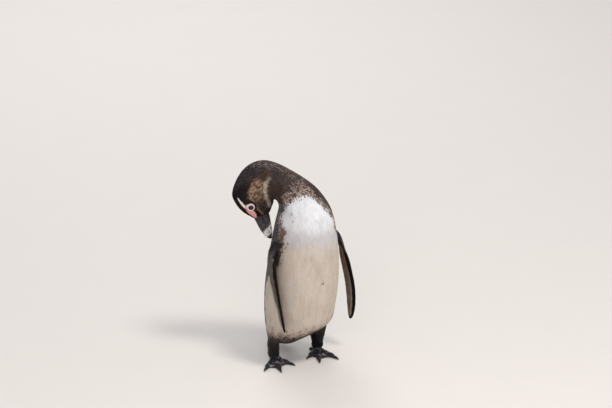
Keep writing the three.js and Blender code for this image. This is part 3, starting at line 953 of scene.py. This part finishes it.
def plumage_tone(points, normals):
    """The colour of the coat at points, and how pale the vanes' tips are there, from frost and from
    a painted highlight on top of the neck.
    """
    height = points[:, 2] / MM
    speck = cloud(points, 2.4 * MM, 6)
    tone, tips = trunk_tone(points, normals, height, speck)
    tone, tips = limb_tone(points, normals, height, speck, head_tone(points, tone), tips)
    back, up, _ = in_head(points)
    on_head = ramp(44, 50, back) * ramp(-56, -48, up) * ramp(128, 108, back)
    return tone, tips * (1 - 0.75 * on_head)


# ---- skin ---------------------------------------------------------------------------------
TOE_HALF, SCUTE = 4.2 * MM, 2.9 * MM  # half a toe's width and the length of a scute
KNUCKLES = (0.42, 0.7)  # places of a toe's joints from the ankle to the claw
SOLE = 0.6 * MM  # below this the feet are flat
CHART_ROOM = 4 * MM  # room kept round each chart of the unwrap


def skin_mesh():
    """The skin as one mesh, finer on the face and the feet."""
    low, high = GRID_LOW, GRID_LOW + (np.array(GRID_SHAPE) - 1) * FINE
    counts = np.floor((high - low) / COARSE).astype(int)
    axes = [low[i] + np.arange(counts[i]) * COARSE for i in range(3)]
    places = np.stack(np.meshgrid(*axes, indexing="ij"), -1).reshape(-1, 3)
    values = skin_field.at(places).reshape(counts)
    points, triangles, quads = surface(values, COARSE)
    mesh = bpy.data.meshes.new("skin")
    mesh.from_pydata(points.tolist(), [], triangles.tolist() + quads[:, ::-1].tolist())
    mesh.update()
    refine(mesh, on_face_or_feet)
    refine(mesh, bare_and_seen)
    points, normals = skin_field.onto(mesh_points(mesh).astype(float))
    points = points + normals * foot_relief(points, normals)[:, None]
    points[:, 2] = points[:, 2].clip(0.05 * MM)
    mesh.vertices.foreach_set("co", points.astype(np.float32).ravel())
    mesh.polygons.foreach_set("use_smooth", np.ones(len(mesh.polygons), bool))
    mesh.update()
    return mesh


def foot_relief(points, normals):
    """How far the scutes across the toes and the grain of the webs stand out."""
    grain = cloud(points, 1.3 * MM, 25) - 0.5
    relief = 0.3 * MM * grain * ramp(14, 10, points[:, 2] / MM)
    for side in SIDES:
        ankle = box_middle("leg_" + side)
        for toe in ("inner", "middle", "outer"):
            reach = (box_middle(f"claw_{side}_{toe}") - ankle)[:2]
            length = np.linalg.norm(reach)
            way = reach / length
            rel = points[:, :2] - ankle[:2]
            along, across = rel @ way, rel @ np.array([-way[1], way[0]])
            on_toe = np.exp(-(across / TOE_HALF) ** 2) * ramp(4 * MM, 9 * MM, along)
            on_toe = on_toe * (1 - ramp(length - 6 * MM, length - 2 * MM, along))
            scute = np.abs(np.sin(along / SCUTE * math.pi)) ** 0.6 - 0.5
            joint = sum(np.exp(-((along / length - place) / 0.07) ** 2) for place in KNUCKLES)
            relief = relief + on_toe * (0.45 * MM * scute + 0.5 * MM * joint)
    top = ramp(-0.2, 0.4, normals[:, 2]) * ramp(16 * MM, 12 * MM, points[:, 2])
    return relief * top * (points[:, 2] > SOLE)


def on_face_or_feet(points):
    back, up, _ = in_head(points)
    return ((back > 44) & (back < 94) & (up > -6)) | (points[:, 2] < 15 * MM)


def bare_and_seen(points):
    """The bare skin of the face, and the feet above their soles."""
    back, up, left = in_head(points)
    face = (back > 46) & (back < 92) & (np.abs(left) > 4)
    face = face & (bare_face(back, up) > -1.5)
    return face | ((points[:, 2] < 13 * MM) & (points[:, 2] > 0.8 * MM))


def refine(mesh, region):
    """Halves the edges in a region."""
    wanted = region(mesh_points(mesh).astype(float))
    shape = bmesh.new()
    shape.from_mesh(mesh)
    shape.verts.ensure_lookup_table()
    edges = [e for e in shape.edges if wanted[e.verts[0].index] and wanted[e.verts[1].index]]
    bmesh.ops.subdivide_edges(shape, edges=edges, cuts=1, use_grid_fill=True)
    bmesh.ops.triangulate(shape, faces=[f for f in shape.faces if len(f.verts) > 4])
    bmesh.ops.recalc_face_normals(shape, faces=shape.faces)
    shape.to_mesh(mesh)
    shape.free()


def chart_shelves(sizes, width):
    """Places boxes of these sizes on shelves of a width: their corners and the height used."""
    order = np.argsort(-sizes[:, 1])
    corners = np.zeros_like(sizes)
    x = y = shelf = 0.0
    for i in order:
        if x + sizes[i, 0] > width and x > 0:
            x, y, shelf = 0.0, y + shelf, 0.0
        corners[i] = x, y
        x += sizes[i, 0]
        shelf = max(shelf, sizes[i, 1])
    return corners, y + shelf


def unwrap(normals, parts, spots):
    """An unwrap in flat charts, one for each part and each way that its faces look.

    normals and parts are of the faces; spots are the corners' places, face, corner, xyz.
    """
    way = np.argmax(np.abs(normals), axis=1)
    chart = parts * 6 + way * 2 + (np.take_along_axis(normals, way[:, None], 1)[:, 0] > 0)
    names, chart = np.unique(chart, return_inverse=True)
    flat = np.empty((*spots.shape[:2], 2))
    for w in range(3):
        rest = [i for i in (0, 1, 2) if i != w]
        flat[way == w] = spots[way == w][:, :, rest]
    charts = [flat[chart == c].reshape(-1, 2) for c in range(len(names))]
    lows = np.array([places.min(0) for places in charts]) - CHART_ROOM
    highs = np.array([places.max(0) for places in charts]) + CHART_ROOM
    sizes = highs - lows
    widths = np.sqrt((sizes[:, 0] * sizes[:, 1]).sum()) * np.linspace(0.9, 1.5, 13)
    layouts = [(max(width, chart_shelves(sizes, width)[1]), width) for width in widths]
    side, width = min(layouts)
    corners, _ = chart_shelves(sizes, width)
    return (flat - lows[chart][:, None] + corners[chart][:, None]) / side


def make_skin():
    """The painted skin, and each triangle's corners in space and on the unwrap."""
    mesh = skin_mesh()
    points = mesh_points(mesh).astype(float)
    tone, _ = plumage_tone(points, skin_field.normal(points))
    paint(mesh, tone)

    shape = bmesh.new()
    shape.from_mesh(mesh)
    bmesh.ops.triangulate(shape, faces=shape.faces)
    shape.to_mesh(mesh)
    shape.free()
    spots = points[mesh_triangles(mesh, "vertices")]
    face_normals = unit(np.cross(spots[:, 1] - spots[:, 0], spots[:, 2] - spots[:, 0]))
    parts = part_shares(spots.mean(1)).argmax(1)
    flat = unwrap(face_normals, parts, spots)
    uv = np.empty((len(mesh.loops), 2), np.float32)
    uv[mesh_triangles(mesh, "loops").ravel()] = flat.reshape(-1, 2)
    set_uv(mesh, "OFBake", uv)
    skin = as_piece("skin", mesh, skin_material())
    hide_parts(*FLESH)
    return spots, flat


# ---- coat ---------------------------------------------------------------------------------
# Rows of points down a vane: place along it, half width, rise through the coat and thickness,
# each as a share. The first and last rows are single points.
VANE_ROWS = [(0.0, 0.0, -0.2, 0), (0.26, 0.8, 0.45, 1), (0.58, 1.0, 0.85, 1),
             (0.85, 0.66, 0.92, 0.8), (1.0, 0.0, 0.75, 0)]
VANE_POINTS = 11
PATCH = 0.0015  # half of a vane's patch on the unwrap
VANES_IN_PIECE = 11000
SEED = 20
LOOSE = 0.75  # how far the vanes of the lower edge hang free of the skin
FRINGE = (75 * MM, 50 * MM)  # heights over which they come loose
SHAGGY = (62 * MM, 46 * MM)  # heights over which the legs' vanes grow rough
TRIES = 5  # candidates for each vane that is kept
FILLED = 0.75  # share of the even spacing's number that fits
STRAY = 0.09  # how far the vanes stray from the coat's lie, in radians

# Vanes on each part: length, width and spacing in mm.
VANES = {"body": (9.0, 2.8, 1.5), "neck": (5.6, 1.8, 1.15), "head": (4.2, 1.4, 0.96),
         "face": (2.4, 1.0, 0.7), "flipper": (2.9, 1.35, 1.0), "leg": (6.5, 1.7, 1.15),
         "tail": (11.0, 3.6, 1.8)}


def vane_triangles():
    """A vane's triangles: a point, three rows of left, top and right, and the tip."""
    left, top, right = 0, 1, 2
    tip = VANE_POINTS - 1

    def row(k, corner):
        return 1 + 3 * k + corner

    faces = [(0, row(0, top), row(0, left)), (0, row(0, right), row(0, top)),
             (0, row(0, left), row(0, right))]
    for k in range(2):
        for a, b in ((left, top), (top, right), (right, left)):
            faces.append((row(k, a), row(k, b), row(k + 1, b)))
            faces.append((row(k, a), row(k + 1, b), row(k + 1, a)))
    faces += [(row(2, left), row(2, top), tip), (row(2, top), row(2, right), tip),
              (row(2, right), row(2, left), tip)]
    return np.array(faces)


def vane_sizes(points):
    """Length, width and spacing of the vanes at points, in metres."""
    shares = part_shares(points)
    back, up, _ = in_head(points)
    face = (1 - ramp(58, 96, back)) * ramp(44, 48, back) * ramp(-46, -40, up)
    head = share_of(shares, "head")
    kinds = {"body": share_of(shares, "trunk"), "tail": share_of(shares, "tail"),
             "neck": share_of(shares, "neck"), "head": head * (1 - face), "face": head * face,
             "flipper": share_of(shares, "flipper_left", "flipper_right"),
             "leg": share_of(shares, "leg_left", "leg_right", "foot_left", "foot_right")}
    return sum(kinds[kind][:, None] * np.array(VANES[kind]) for kind in VANES) * MM


def lie_of_coat(points, normals):
    """The way the vanes point, along the surface."""
    shares = part_shares(points)
    down = np.array([0, 0.12, -1.0])
    ways = {"trunk": down, "leg_left": down, "leg_right": down, "foot_left": down,
            "foot_right": down, "tail": np.array([0, 0.63, -0.78]), "head": HEAD_BACK}
    for side in SIDES:
        low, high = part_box("flipper_" + side)
        out = SIDES[side] * (high.x - low.x) * (0.25 if side == "left" else -0.05)
        ways["flipper_" + side] = unit(np.array([out, 0.012, low.z - high.z]))
    turn = round_neck(points)[:, None]
    neck = -(OUT * np.sin(turn) + UP * np.cos(turn))
    flow = sum(share_of(shares, name)[:, None] * way for name, way in ways.items())
    flow = flow + share_of(shares, "neck")[:, None] * neck
    return unit(flow - normals * (flow * normals).sum(1, keepdims=True))


def scattered(spots, flat, rng):
    """Roots spread over the skin, no two closer than the spacing, with their unwrap places."""
    edges = np.cross(spots[:, 1] - spots[:, 0], spots[:, 2] - spots[:, 0])
    area = np.linalg.norm(edges, axis=1) / 2
    middles = spots.mean(1)
    wanted = area / vane_sizes(middles)[:, 2] ** 2 * (bare_share(middles) < 0.5)
    back, up, _ = in_head(middles)
    # None grow where the bill covers the front of the head.
    wanted *= ~((back < 50.5) & (back > -6) & (up > -30) & (np.abs(up) < 30)
                & (part_shares(middles)[:, FLESH.index("head")] > 0.5))
    count = int(wanted.sum() * FILLED * TRIES)
    chosen = rng.choice(len(wanted), count, p=wanted / wanted.sum())
    a, b = rng.random((2, count))
    fold = a + b > 1
    a, b = np.where(fold, 1 - a, a), np.where(fold, 1 - b, b)
    shares = np.stack([1 - a - b, a, b], -1)[..., None]
    roots = (spots[chosen] * shares).sum(1)
    places = (flat[chosen] * shares).sum(1)
    spacing = vane_sizes(roots)[:, 2]
    tree = KDTree(count)
    for i, root in enumerate(roots):
        tree.insert(root, i)
    tree.balance()
    free = np.ones(count, bool)
    kept = []
    for i in range(count):
        if free[i]:
            kept.append(i)
            for _, j, _ in tree.find_range(roots[i], spacing[i]):
                free[j] = False
    return roots[kept], places[kept]


def lay_vanes(roots, rng):
    """The points of a vane at each root, as an array vane, point, xyz, and the root normals."""
    roots, normals = skin_field.onto(roots)
    length, width, _ = vane_sizes(roots).T
    length = length * rng.uniform(0.82, 1.15, len(roots))
    width = width * rng.uniform(0.88, 1.1, len(roots))
    depth = np.maximum(-outer_field.at(roots), 0.25 * MM) * rng.uniform(0.88, 1.0, len(roots))
    shares = part_shares(roots)
    legs = share_of(shares, "leg_left", "leg_right")
    legs = legs * ramp(*SHAGGY, roots[:, 2])
    depth = depth * (1 + legs * rng.uniform(-0.3, 1.5, len(roots)))
    heading = lie_of_coat(roots, normals)
    side = np.cross(normals, heading)
    stray = rng.normal(0, STRAY, len(roots)) * (1 + 1.6 * legs)
    heading = unit(heading + side * stray[:, None])
    thick = 0.05 * width
    loose = LOOSE * ramp(0.1, -0.5, normals[:, 2]) * ramp(*FRINGE, roots[:, 2])
    loose = (loose * rng.uniform(0.3, 1.0, len(roots)))[:, None]
    rows, reached = [], 0.0
    spot, normal = roots, normals
    for share, half, rise, ridge in VANE_ROWS:
        ahead = spot + heading * ((share - reached) * length)[:, None]
        reached = share
        spot, normal = skin_field.onto(ahead, steps=1)
        spot = spot + (ahead - spot) * loose
        heading = unit(heading - normal * (heading * normal).sum(1, keepdims=True))
        side = np.cross(normal, heading)
        lift = (rise * depth)[:, None] * normal
        if half == 0:
            rows.append(spot + lift)
            continue
        reach = (half * width / 2)[:, None] * side
        droop = (0.16 * half * width / 2)[:, None] * normal
        crest = (ridge * thick)[:, None] * normal
        rows += [spot + lift + reach - droop, spot + lift + crest, spot + lift - reach - droop]
    return np.stack(rows, 1), normals


# Each of a vane's points across it and along it, from 0 to 1.
VANE_ACROSS = np.array([0.5] + [0, 0.5, 1] * 3 + [0.5])
VANE_ALONG = np.repeat([row[0] for row in VANE_ROWS], [1, 3, 3, 3, 1])


def coat_piece(name, vanes, normals, places, tones, material):
    """One mesh of vanes, lit as soft plumage, with a patch of the skin's unwrap for each."""
    count = len(vanes)
    triangles = vane_triangles()
    faces = (triangles[None] + (np.arange(count) * VANE_POINTS)[:, None, None]).reshape(-1, 3)
    piece = mesh_object(name, vanes.reshape(-1, 3), faces, material)
    mesh = piece.data
    paint(mesh, tones.reshape(-1, 3))
    local = np.stack([VANE_ACROSS, VANE_ALONG], -1)
    corners = np.tile(triangles.ravel(), count)
    owner = np.repeat(np.arange(count), triangles.size)
    set_uv(mesh, "OFBake", places[owner] + (local[corners] - 0.5) * 2 * PATCH)
    set_uv(mesh, "Vane", local[corners])
    middle_row, next_top = 4, 8
    over = vanes[:, middle_row + 1] - vanes[:, middle_row]
    ahead = vanes[:, next_top] - vanes[:, middle_row + 1]
    soft = unit(normals + 0.5 * unit(-np.cross(over, ahead)))
    mesh.normals_split_custom_set_from_vertices(np.repeat(soft, VANE_POINTS, 0).tolist())
    return piece


def vane_tones(roots, normals, rng):
    """A colour for each point of each vane."""
    tone, tips = plumage_tone(roots, normals)
    count = len(roots)
    pale = ramp(0.12, 0.4, tone.mean(1))
    jitter = rng.normal(0, 1, count)
    shade = 1 - 0.05 * np.abs(jitter) * pale + 0.16 * jitter * (1 - pale)
    tone = tone * shade.clip(0.5, 1.6)[:, None]
    speck = ramp(0.38, 0.62, cloud(roots, 2.4 * MM, 6))
    # Pale tips from frost, and from the painted highlight carried in tips.
    frost_and_highlight = (tips * (0.25 + 1.5 * speck) * rng.uniform(0.5, 1.3, count)).clip(0, 0.95)
    tip = mix(tone, mix(GRAIN_AND_SHEEN, FROST, ramp(0.25, 0.6, tips)), frost_and_highlight * (1 - pale))
    along = ramp(0.5, 0.9, VANE_ALONG)[None, :, None]
    root_shade = 1 - 0.12 * (1 - ramp(0.0, 0.6, VANE_ALONG))[None, :, None]
    return tone[:, None] * root_shade * (1 - along) + tip[:, None] * along


def coat_region(roots):
    """The name of the coat piece that each vane is in."""
    shares = part_shares(roots)
    part = np.array(FLESH)[shares.argmax(1)]
    turn = round_body(roots)
    ahead = np.abs(turn) < 100
    region = np.where(ahead, np.where(roots[:, 2] > 215 * MM, "breast", "belly"), "back")
    for name in ("neck", "head", "flipper_left", "flipper_right"):
        region = np.where(part == name, name, region)
    return region


def make_coat(spots, flat):
    rng = np.random.default_rng(SEED)
    roots, places = scattered(spots, flat, rng)
    vanes, normals = lay_vanes(roots, rng)
    tones = vane_tones(roots, normals, rng)
    region = coat_region(roots)
    pale = plumage_material("pale_plumage", 0.12, 0.2, 0.8)
    dark = plumage_material("dark_plumage", 0.005, 0.04, 0.66)
    for name in np.unique(region):
        members = np.flatnonzero(region == name)
        members = members[np.argsort(roots[members, 2])]
        chunks = np.array_split(members, math.ceil(len(members) / VANES_IN_PIECE))
        light = name in ("breast", "belly")
        slot, material = ("pale_plumage", pale) if light else ("dark_plumage", dark)
        for i, chunk in enumerate(chunks):
            title = f"coat_{name}" + (f"_{i + 1}" if len(chunks) > 1 else "")
            coat_piece(title, vanes[chunk], normals[chunk], places[chunk], tones[chunk],
                       material)


# ---- eyes ---------------------------------------------------------------------------------
LID_PROFILE = [(4.95, 6.2), (5.0, 6.75), (5.25, 7.15), (5.7, 7.3), (6.15, 7.2), (6.6, 6.85),
               (6.9, 6.2), (7.0, 5.4), (6.5, 4.9), (5.4, 5.1)]  # mm from the eye's axis and up it


PUPIL_EDGE, IRIS_EDGE = (2.7, 3.1), (3.9, 4.5)  # mm from the eye's axis
CORNEA = 0.35 * MM  # how far it bulges out of the eyeball
PUPIL, IRIS, EYE_RIM = srgb(5, 4, 4), srgb(30, 20, 16), srgb(12, 9, 8)
LID_FLESH, LID_EDGE = srgb(236, 190, 188), srgb(40, 26, 26)


def eye_axis(side):
    """The way an eye looks: sideways, and a little ahead and up."""
    return unit(HEAD_LEFT * SIDES[side] - HEAD_BACK * 0.16 + HEAD_UP * 0.06)


def ring_across(axis, sides):
    """A circle of ways across an axis of the head, the first towards the crown."""
    rise = unit(HEAD_UP - axis * (HEAD_UP @ axis))
    turn = round_turns(sides)[:, None]
    return np.cos(turn) * rise + np.sin(turn) * np.cross(axis, rise)


def make_eye(side):
    """The eyeball, whose colours run out from its pupil in rings."""
    centre, axis = eye_centre[side], eye_axis(side)
    rings, sides = 40, 48
    polar = np.linspace(0.015, math.pi - 0.015, rings)
    radius = EYE_RADIUS + CORNEA * np.exp(-(polar / 0.38) ** 2)
    points = (centre + axis * (np.cos(polar) * radius)[:, None, None]
              + ring_across(axis, sides)[None] * (np.sin(polar) * radius)[:, None, None])
    shape, faces = closed_tube(points[:, ::-1])
    reach = np.append(np.repeat(np.sin(polar) * radius, sides), [0, 0]) / MM
    piece = mesh_object("eyeball_" + side, shape, faces, eye_material())
    paint(piece.data, layered(PUPIL, (IRIS, ramp(*PUPIL_EDGE, reach)),
                              (EYE_RIM, ramp(*IRIS_EDGE, reach))))
    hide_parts("eye_" + side)


def make_lid(side, material):
    """The fleshy ring round the opening, a little pinched fore and aft."""
    centre, axis = eye_centre[side], eye_axis(side)
    sides = 72
    turn = round_turns(sides)
    profile = np.array(LID_PROFILE) * MM
    profile = curve_through(np.vstack([profile, profile[:1]]), 3)[:-1]
    pinch = 1 + 0.05 * np.cos(2 * turn)
    crimp = 1 + 0.012 * np.sin(turn * 19) + 0.01 * np.sin(turn * 31 + 1)
    points = (centre + axis * (profile[:, 1][:, None, None] * crimp[None, :, None])
              + ring_across(axis, sides)[None] * (profile[:, 0][:, None] * pinch[None])[..., None])
    faces = tube_faces(len(profile), sides, looped=True)
    piece = mesh_object("eyelid_" + side, points.reshape(-1, 3), faces, material)
    reach = profile[:, 0] / MM
    tone = layered(PALE_PINK, (LID_FLESH, ramp(6.0, 6.9, reach)),
                   (LID_EDGE, 1 - ramp(5.0, 5.25, reach)))
    paint(piece.data, np.repeat(tone, sides, 0))


def lid_material():
    made = Shader("eyelid", Specular_IOR_Level=0.45, Subsurface_Weight=0.08)
    tone = made.attribute("Tone")
    grain = made.noise(1800, 3)
    dark = made.tinted(tone, 0.85, 0.72, 0.72)
    made.base(made.blend(grain, dark, tone))
    made.rough(made.span(grain, 0.35, 0.6))
    made.bump(grain, 0.0002, 0.6)
    return made.material


# ---- bill ---------------------------------------------------------------------------------
# Back from the tip, and heights of the top line, the parting and the underside, and half width.
BILL = [(53, 13.8, -1.8, -17.4, 11), (46, 13.2, -2.2, -16.8, 9.8), (40, 12.7, -2.6, -15.8, 8.8),
        (28, 11.7, -3.2, -13.2, 7), (15, 9.4, -3.1, -10.4, 5.6), (8, 6.8, -3, -7.4, 4.4),
        (3.5, 3.6, -3.1, -4.6, 3), (0.4, 0.2, -3.6, -4.1, 1.2)]
BILL_GAP = 0.15  # mm, how far each half keeps from the parting
BILL_LEAST = 0.15  # mm, the least height of a half
BILL_SIDES = 64
BILL_BLACK, BILL_BROWN = srgb(17, 15, 16), srgb(36, 26, 26)
BILL_GREY_STREAK, BILL_BAND = srgb(104, 97, 98), srgb(198, 190, 188)
GROOVE = 0.62  # level of the line that parts the culmen's plate from the side plate


def bill_tone(points):
    back, up, _ = in_head(points)
    mottle = cloud(points, 1.6 * MM, 31) * 0.6 + cloud(points, 4 * MM, 32) * 0.4
    band = ramp(6, 10, back + 0.4 * up) * (1 - ramp(18, 25, back + 0.5 * up))
    band = band * (1 - ramp(8, 12, up)) * ramp(0.3, 0.55, mottle)
    # Pale grey streaks along the bill.
    scratch = cloud(points, 1.3 * MM, 34, (1, 1, 5))
    worn = ramp(0.5, 0.75, scratch) * ramp(8, 16, back) * (1 - ramp(34, 46, back))
    return layered(BILL_BLACK, (BILL_BROWN, ramp(0.5, 0.8, cloud(points, 5 * MM, 33))),
                   (BILL_GREY_STREAK, 0.5 * worn), (BILL_BAND, 0.85 * band))


def bill_half(name, upper, material):
    """One half of the bill, with its groove, lip, creases and, above, its nostrils."""
    stations = curve_through(BILL, 12)
    turn = np.linspace(0, math.pi, BILL_SIDES // 2 + 1)
    rings = []
    for back, top, parting, under, half in stations:
        tall = (top - parting) if upper else (parting - under)
        tall, half = max(tall - BILL_GAP, BILL_LEAST), half * (1 if upper else 0.93)
        # Round from one side of the parting (0) over the ridge (1) to the other: a groove, a lip at
        # the edge, creases at the base and, on the upper half, the nostrils and a raised nail.
        level = np.sin(turn)
        side, rise = np.cos(turn) * half, level ** 0.92 * tall
        middle = ramp(5, 12, back) * ramp(52, 44, back)
        line = GROOVE - 0.2 * ramp(34, 10, back) if upper else 0.5
        groove = np.exp(-((level - line) / 0.05) ** 2) * middle
        lip = np.exp(-((level - 0.1) / 0.07) ** 2) * ramp(8, 16, back)
        creases = math.sin(back * 2.3) * ramp(34, 44, back) * 0.012
        swell = 1 - (0.085 if upper else 0.05) * groove + 0.03 * lip + creases
        if upper:
            nostril = np.exp(-((level - 0.42) / 0.07) ** 2) * np.exp(-((back - 38) / 3.2) ** 2)
            swell = swell - 0.24 * nostril
            swell = swell + 0.05 * math.exp(-((back - 9) / 4) ** 2)
        side = side * swell
        rise = rise * (1 + creases)
        floor_side = np.linspace(-half, half, BILL_SIDES // 2 + 1)[1:-1] * 0.98
        floor_rise = np.full(len(floor_side), 0.02)
        sides = np.concatenate([side, floor_side])
        rises = np.concatenate([rise, floor_rise])
        heights = parting + (BILL_GAP + rises) * (1 if upper else -1)
        rings.append(from_head(np.full(len(sides), back), heights, sides))
    rings = np.array(rings)
    points, faces = closed_tube(rings if upper else rings[:, ::-1])
    piece = mesh_object(name + "_horn", points, faces, material)
    paint(piece.data, bill_tone(points))
    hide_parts(name)


# ---- claws --------------------------------------------------------------------------------
CLAW_RINGS = [(0.0, 3.1, 2.9), (0.2, 3.2, 2.8), (0.45, 3.1, 2.3), (0.75, 2.5, 1.6),
              (0.93, 1.7, 0.9), (1.0, 1.35, 0.35)]  # place along, height and radius in mm


CLAW_SIDES = 20
CLAW_BLACK, CLAW_WORN = srgb(22, 20, 22), srgb(74, 66, 64)


def make_claw(node, ankle, material):
    """A claw along its solid, from the toe's end to a worn point."""
    points, _ = node_mesh(node)
    middle = points.mean(0)
    spread = np.linalg.eigh(np.cov((points - middle)[:, :2].T))[1][:, 1]
    ahead = np.array([*spread, 0.0])
    if ahead @ (middle - ankle) < 0:
        ahead = -ahead
    along = (points - middle) @ ahead
    start, reach = along.min(), np.ptp(along)
    across = np.array([-ahead[1], ahead[0], 0])
    turn = round_turns(CLAW_SIDES)[:, None]
    round_it = np.cos(turn) * across + np.sin(turn) * UP
    rings = []
    for share, height, radius in curve_through(CLAW_RINGS, 4):
        base = middle * [1, 1, 0] + ahead * (start + share * reach) + UP * height * MM
        rings.append(base + round_it * max(radius, 0.25) * MM)
    rings = np.array(rings)
    rings[..., 2] = rings[..., 2].clip(0.1 * MM)
    shape, faces = closed_tube(rings)
    piece = mesh_object(node + "_horn", shape, faces, material)
    worn = ramp(0.6, 1.0, (shape - middle) @ ahead / reach + 0.5)
    paint(piece.data, mix(CLAW_BLACK, CLAW_WORN, worn))
    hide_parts(node)


# ---- tail ---------------------------------------------------------------------------------
# Stations down the tail: place from its root, half width and half thickness, mm.
TAIL = np.array([(0, 24, 12), (26, 22.5, 9), (52, 19.5, 4.5), (72, 14, 2), (76.5, 10, 1.2)])
TAIL_ROOT = np.array([3.9, 35.9, 70]) * MM
QUILLS = [(13, 1.0, 0.0), (12, 0.2, 3.0), (13, -0.7, 1.0)]  # count, layer and how much shorter
QUILL_WIDTH, QUILL_HALF_THICK, SHAFT = 6.5 * MM, 0.22 * MM, 0.2 * MM
QUILL_DROOP = 0.35 * MM  # how far a quill's edges hang below its shaft
QUILL_SIDES, QUILL_STEPS = 10, 14
QUILLS_FROM, QUILLS_TO = 24, 75.5  # mm down the tail
TAIL_ROUNDED = 17  # mm, how much shorter the outermost quills are
TAIL_DOWN = unit(np.array([0, 48, -59.5]))  # the way the tail points
TAIL_SEED = 5


def make_tail(material):
    """Stiff quills in three layers of a shallow fan, out from under the coverts."""
    down = TAIL_DOWN
    lift = np.array([0, -down[2], down[1]])
    rng = np.random.default_rng(TAIL_SEED)
    points, faces, tones, local = [], [], [], []
    for count, layer, shorter in QUILLS:
        for share in np.linspace(-1, 1, count):
            rounded = TAIL_ROUNDED * abs(share) ** 1.6
            reach = QUILLS_TO - shorter - rounded + rng.uniform(-0.8, 0.8)
            spots = []
            for place in np.linspace(QUILLS_FROM, reach, QUILL_STEPS):
                half, thick = (np.interp(place, TAIL[:, 0], TAIL[:, k]) for k in (1, 2))
                rise = layer * (0.62 * thick - 0.3) * (1 - 0.35 * share ** 2)
                fanned = 0.55 + 0.45 * ramp(24, 54, place)
                spots.append(TAIL_ROOT + (down * place + lift * rise) * MM
                             + np.array([share * (half - 2.4) * fanned * MM, 0, 0]))
            add_quill(points, faces, tones, local, np.array(spots), lift, rng)
    made = np.concatenate(points)
    piece = mesh_object("tail_quills", made, np.concatenate(faces), material)
    paint(piece.data, np.concatenate(tones))
    corners = np.empty(len(piece.data.loops), np.int32)
    piece.data.loops.foreach_get("vertex_index", corners)
    spread = (made - made.min(0)) / np.ptp(made, 0).max()
    set_uv(piece.data, "OFBake", spread[corners][:, [0, 2]])
    set_uv(piece.data, "Vane", np.concatenate(local)[corners])


def add_quill(points, faces, tones, local, spots, lift, rng):
    """One quill along a line of spots: a flat vane with a shaft, round at its tip."""
    rows, sides = len(spots), QUILL_SIDES
    across = unit(np.cross(spots[-1] - spots[0], lift))
    shape = []
    width = QUILL_WIDTH * rng.uniform(0.9, 1.1)
    angles = round_turns(sides)
    shaft = np.exp(-(np.cos(angles) / 0.2) ** 2) * np.sign(np.sin(angles))
    for centre, place in zip(spots, np.linspace(0, 1, rows)):
        half = width / 2 * max(1 - place ** 6, 0.02) ** 0.6
        height = (np.sin(angles) * QUILL_HALF_THICK + shaft * SHAFT
                  - np.cos(angles) ** 2 * QUILL_DROOP)
        shape.append(centre + across * (half * np.cos(angles))[:, None] + lift * height[:, None])
    made, triangles = closed_tube(np.array(shape))
    start = sum(len(p) for p in points)
    points.append(made)
    faces.append(triangles + start)
    tone = mix(BLACK * 1.2, BACK, rng.random())
    tones.append(np.tile(tone * rng.uniform(0.8, 1.3), (len(made), 1)))
    along = np.append(np.repeat(np.linspace(0, 1, rows), sides), [0, 1])
    across_uv = np.append(np.tile(0.5 + 0.5 * np.cos(angles), rows), [0.5, 0.5])
    local.append(np.stack([across_uv, along], -1))


# ---- the scene ----------------------------------------------------------------------------
bpy.context.scene.view_settings.view_transform = "Standard"
make_camera()
make_light()
make_floor()

skin_spots, skin_flat = make_skin()
make_coat(skin_spots, skin_flat)

lid_skin = lid_material()
for side in SIDES:
    make_eye(side)
    make_lid(side, lid_skin)

horn = horn_material("bill_horn", 0.25, 0.5)
bill_half("bill_upper", True, horn)
bill_half("bill_lower", False, horn)

claw_horn = horn_material("claw_horn", 0.3, 0.5)
for side in SIDES:
    ankle = box_middle("leg_" + side)
    for toe in ("inner", "middle", "outer"):
        make_claw(f"claw_{side}_{toe}", ankle, claw_horn)

make_tail(plumage_material("quills", 0.02, 0.25, 0.5))
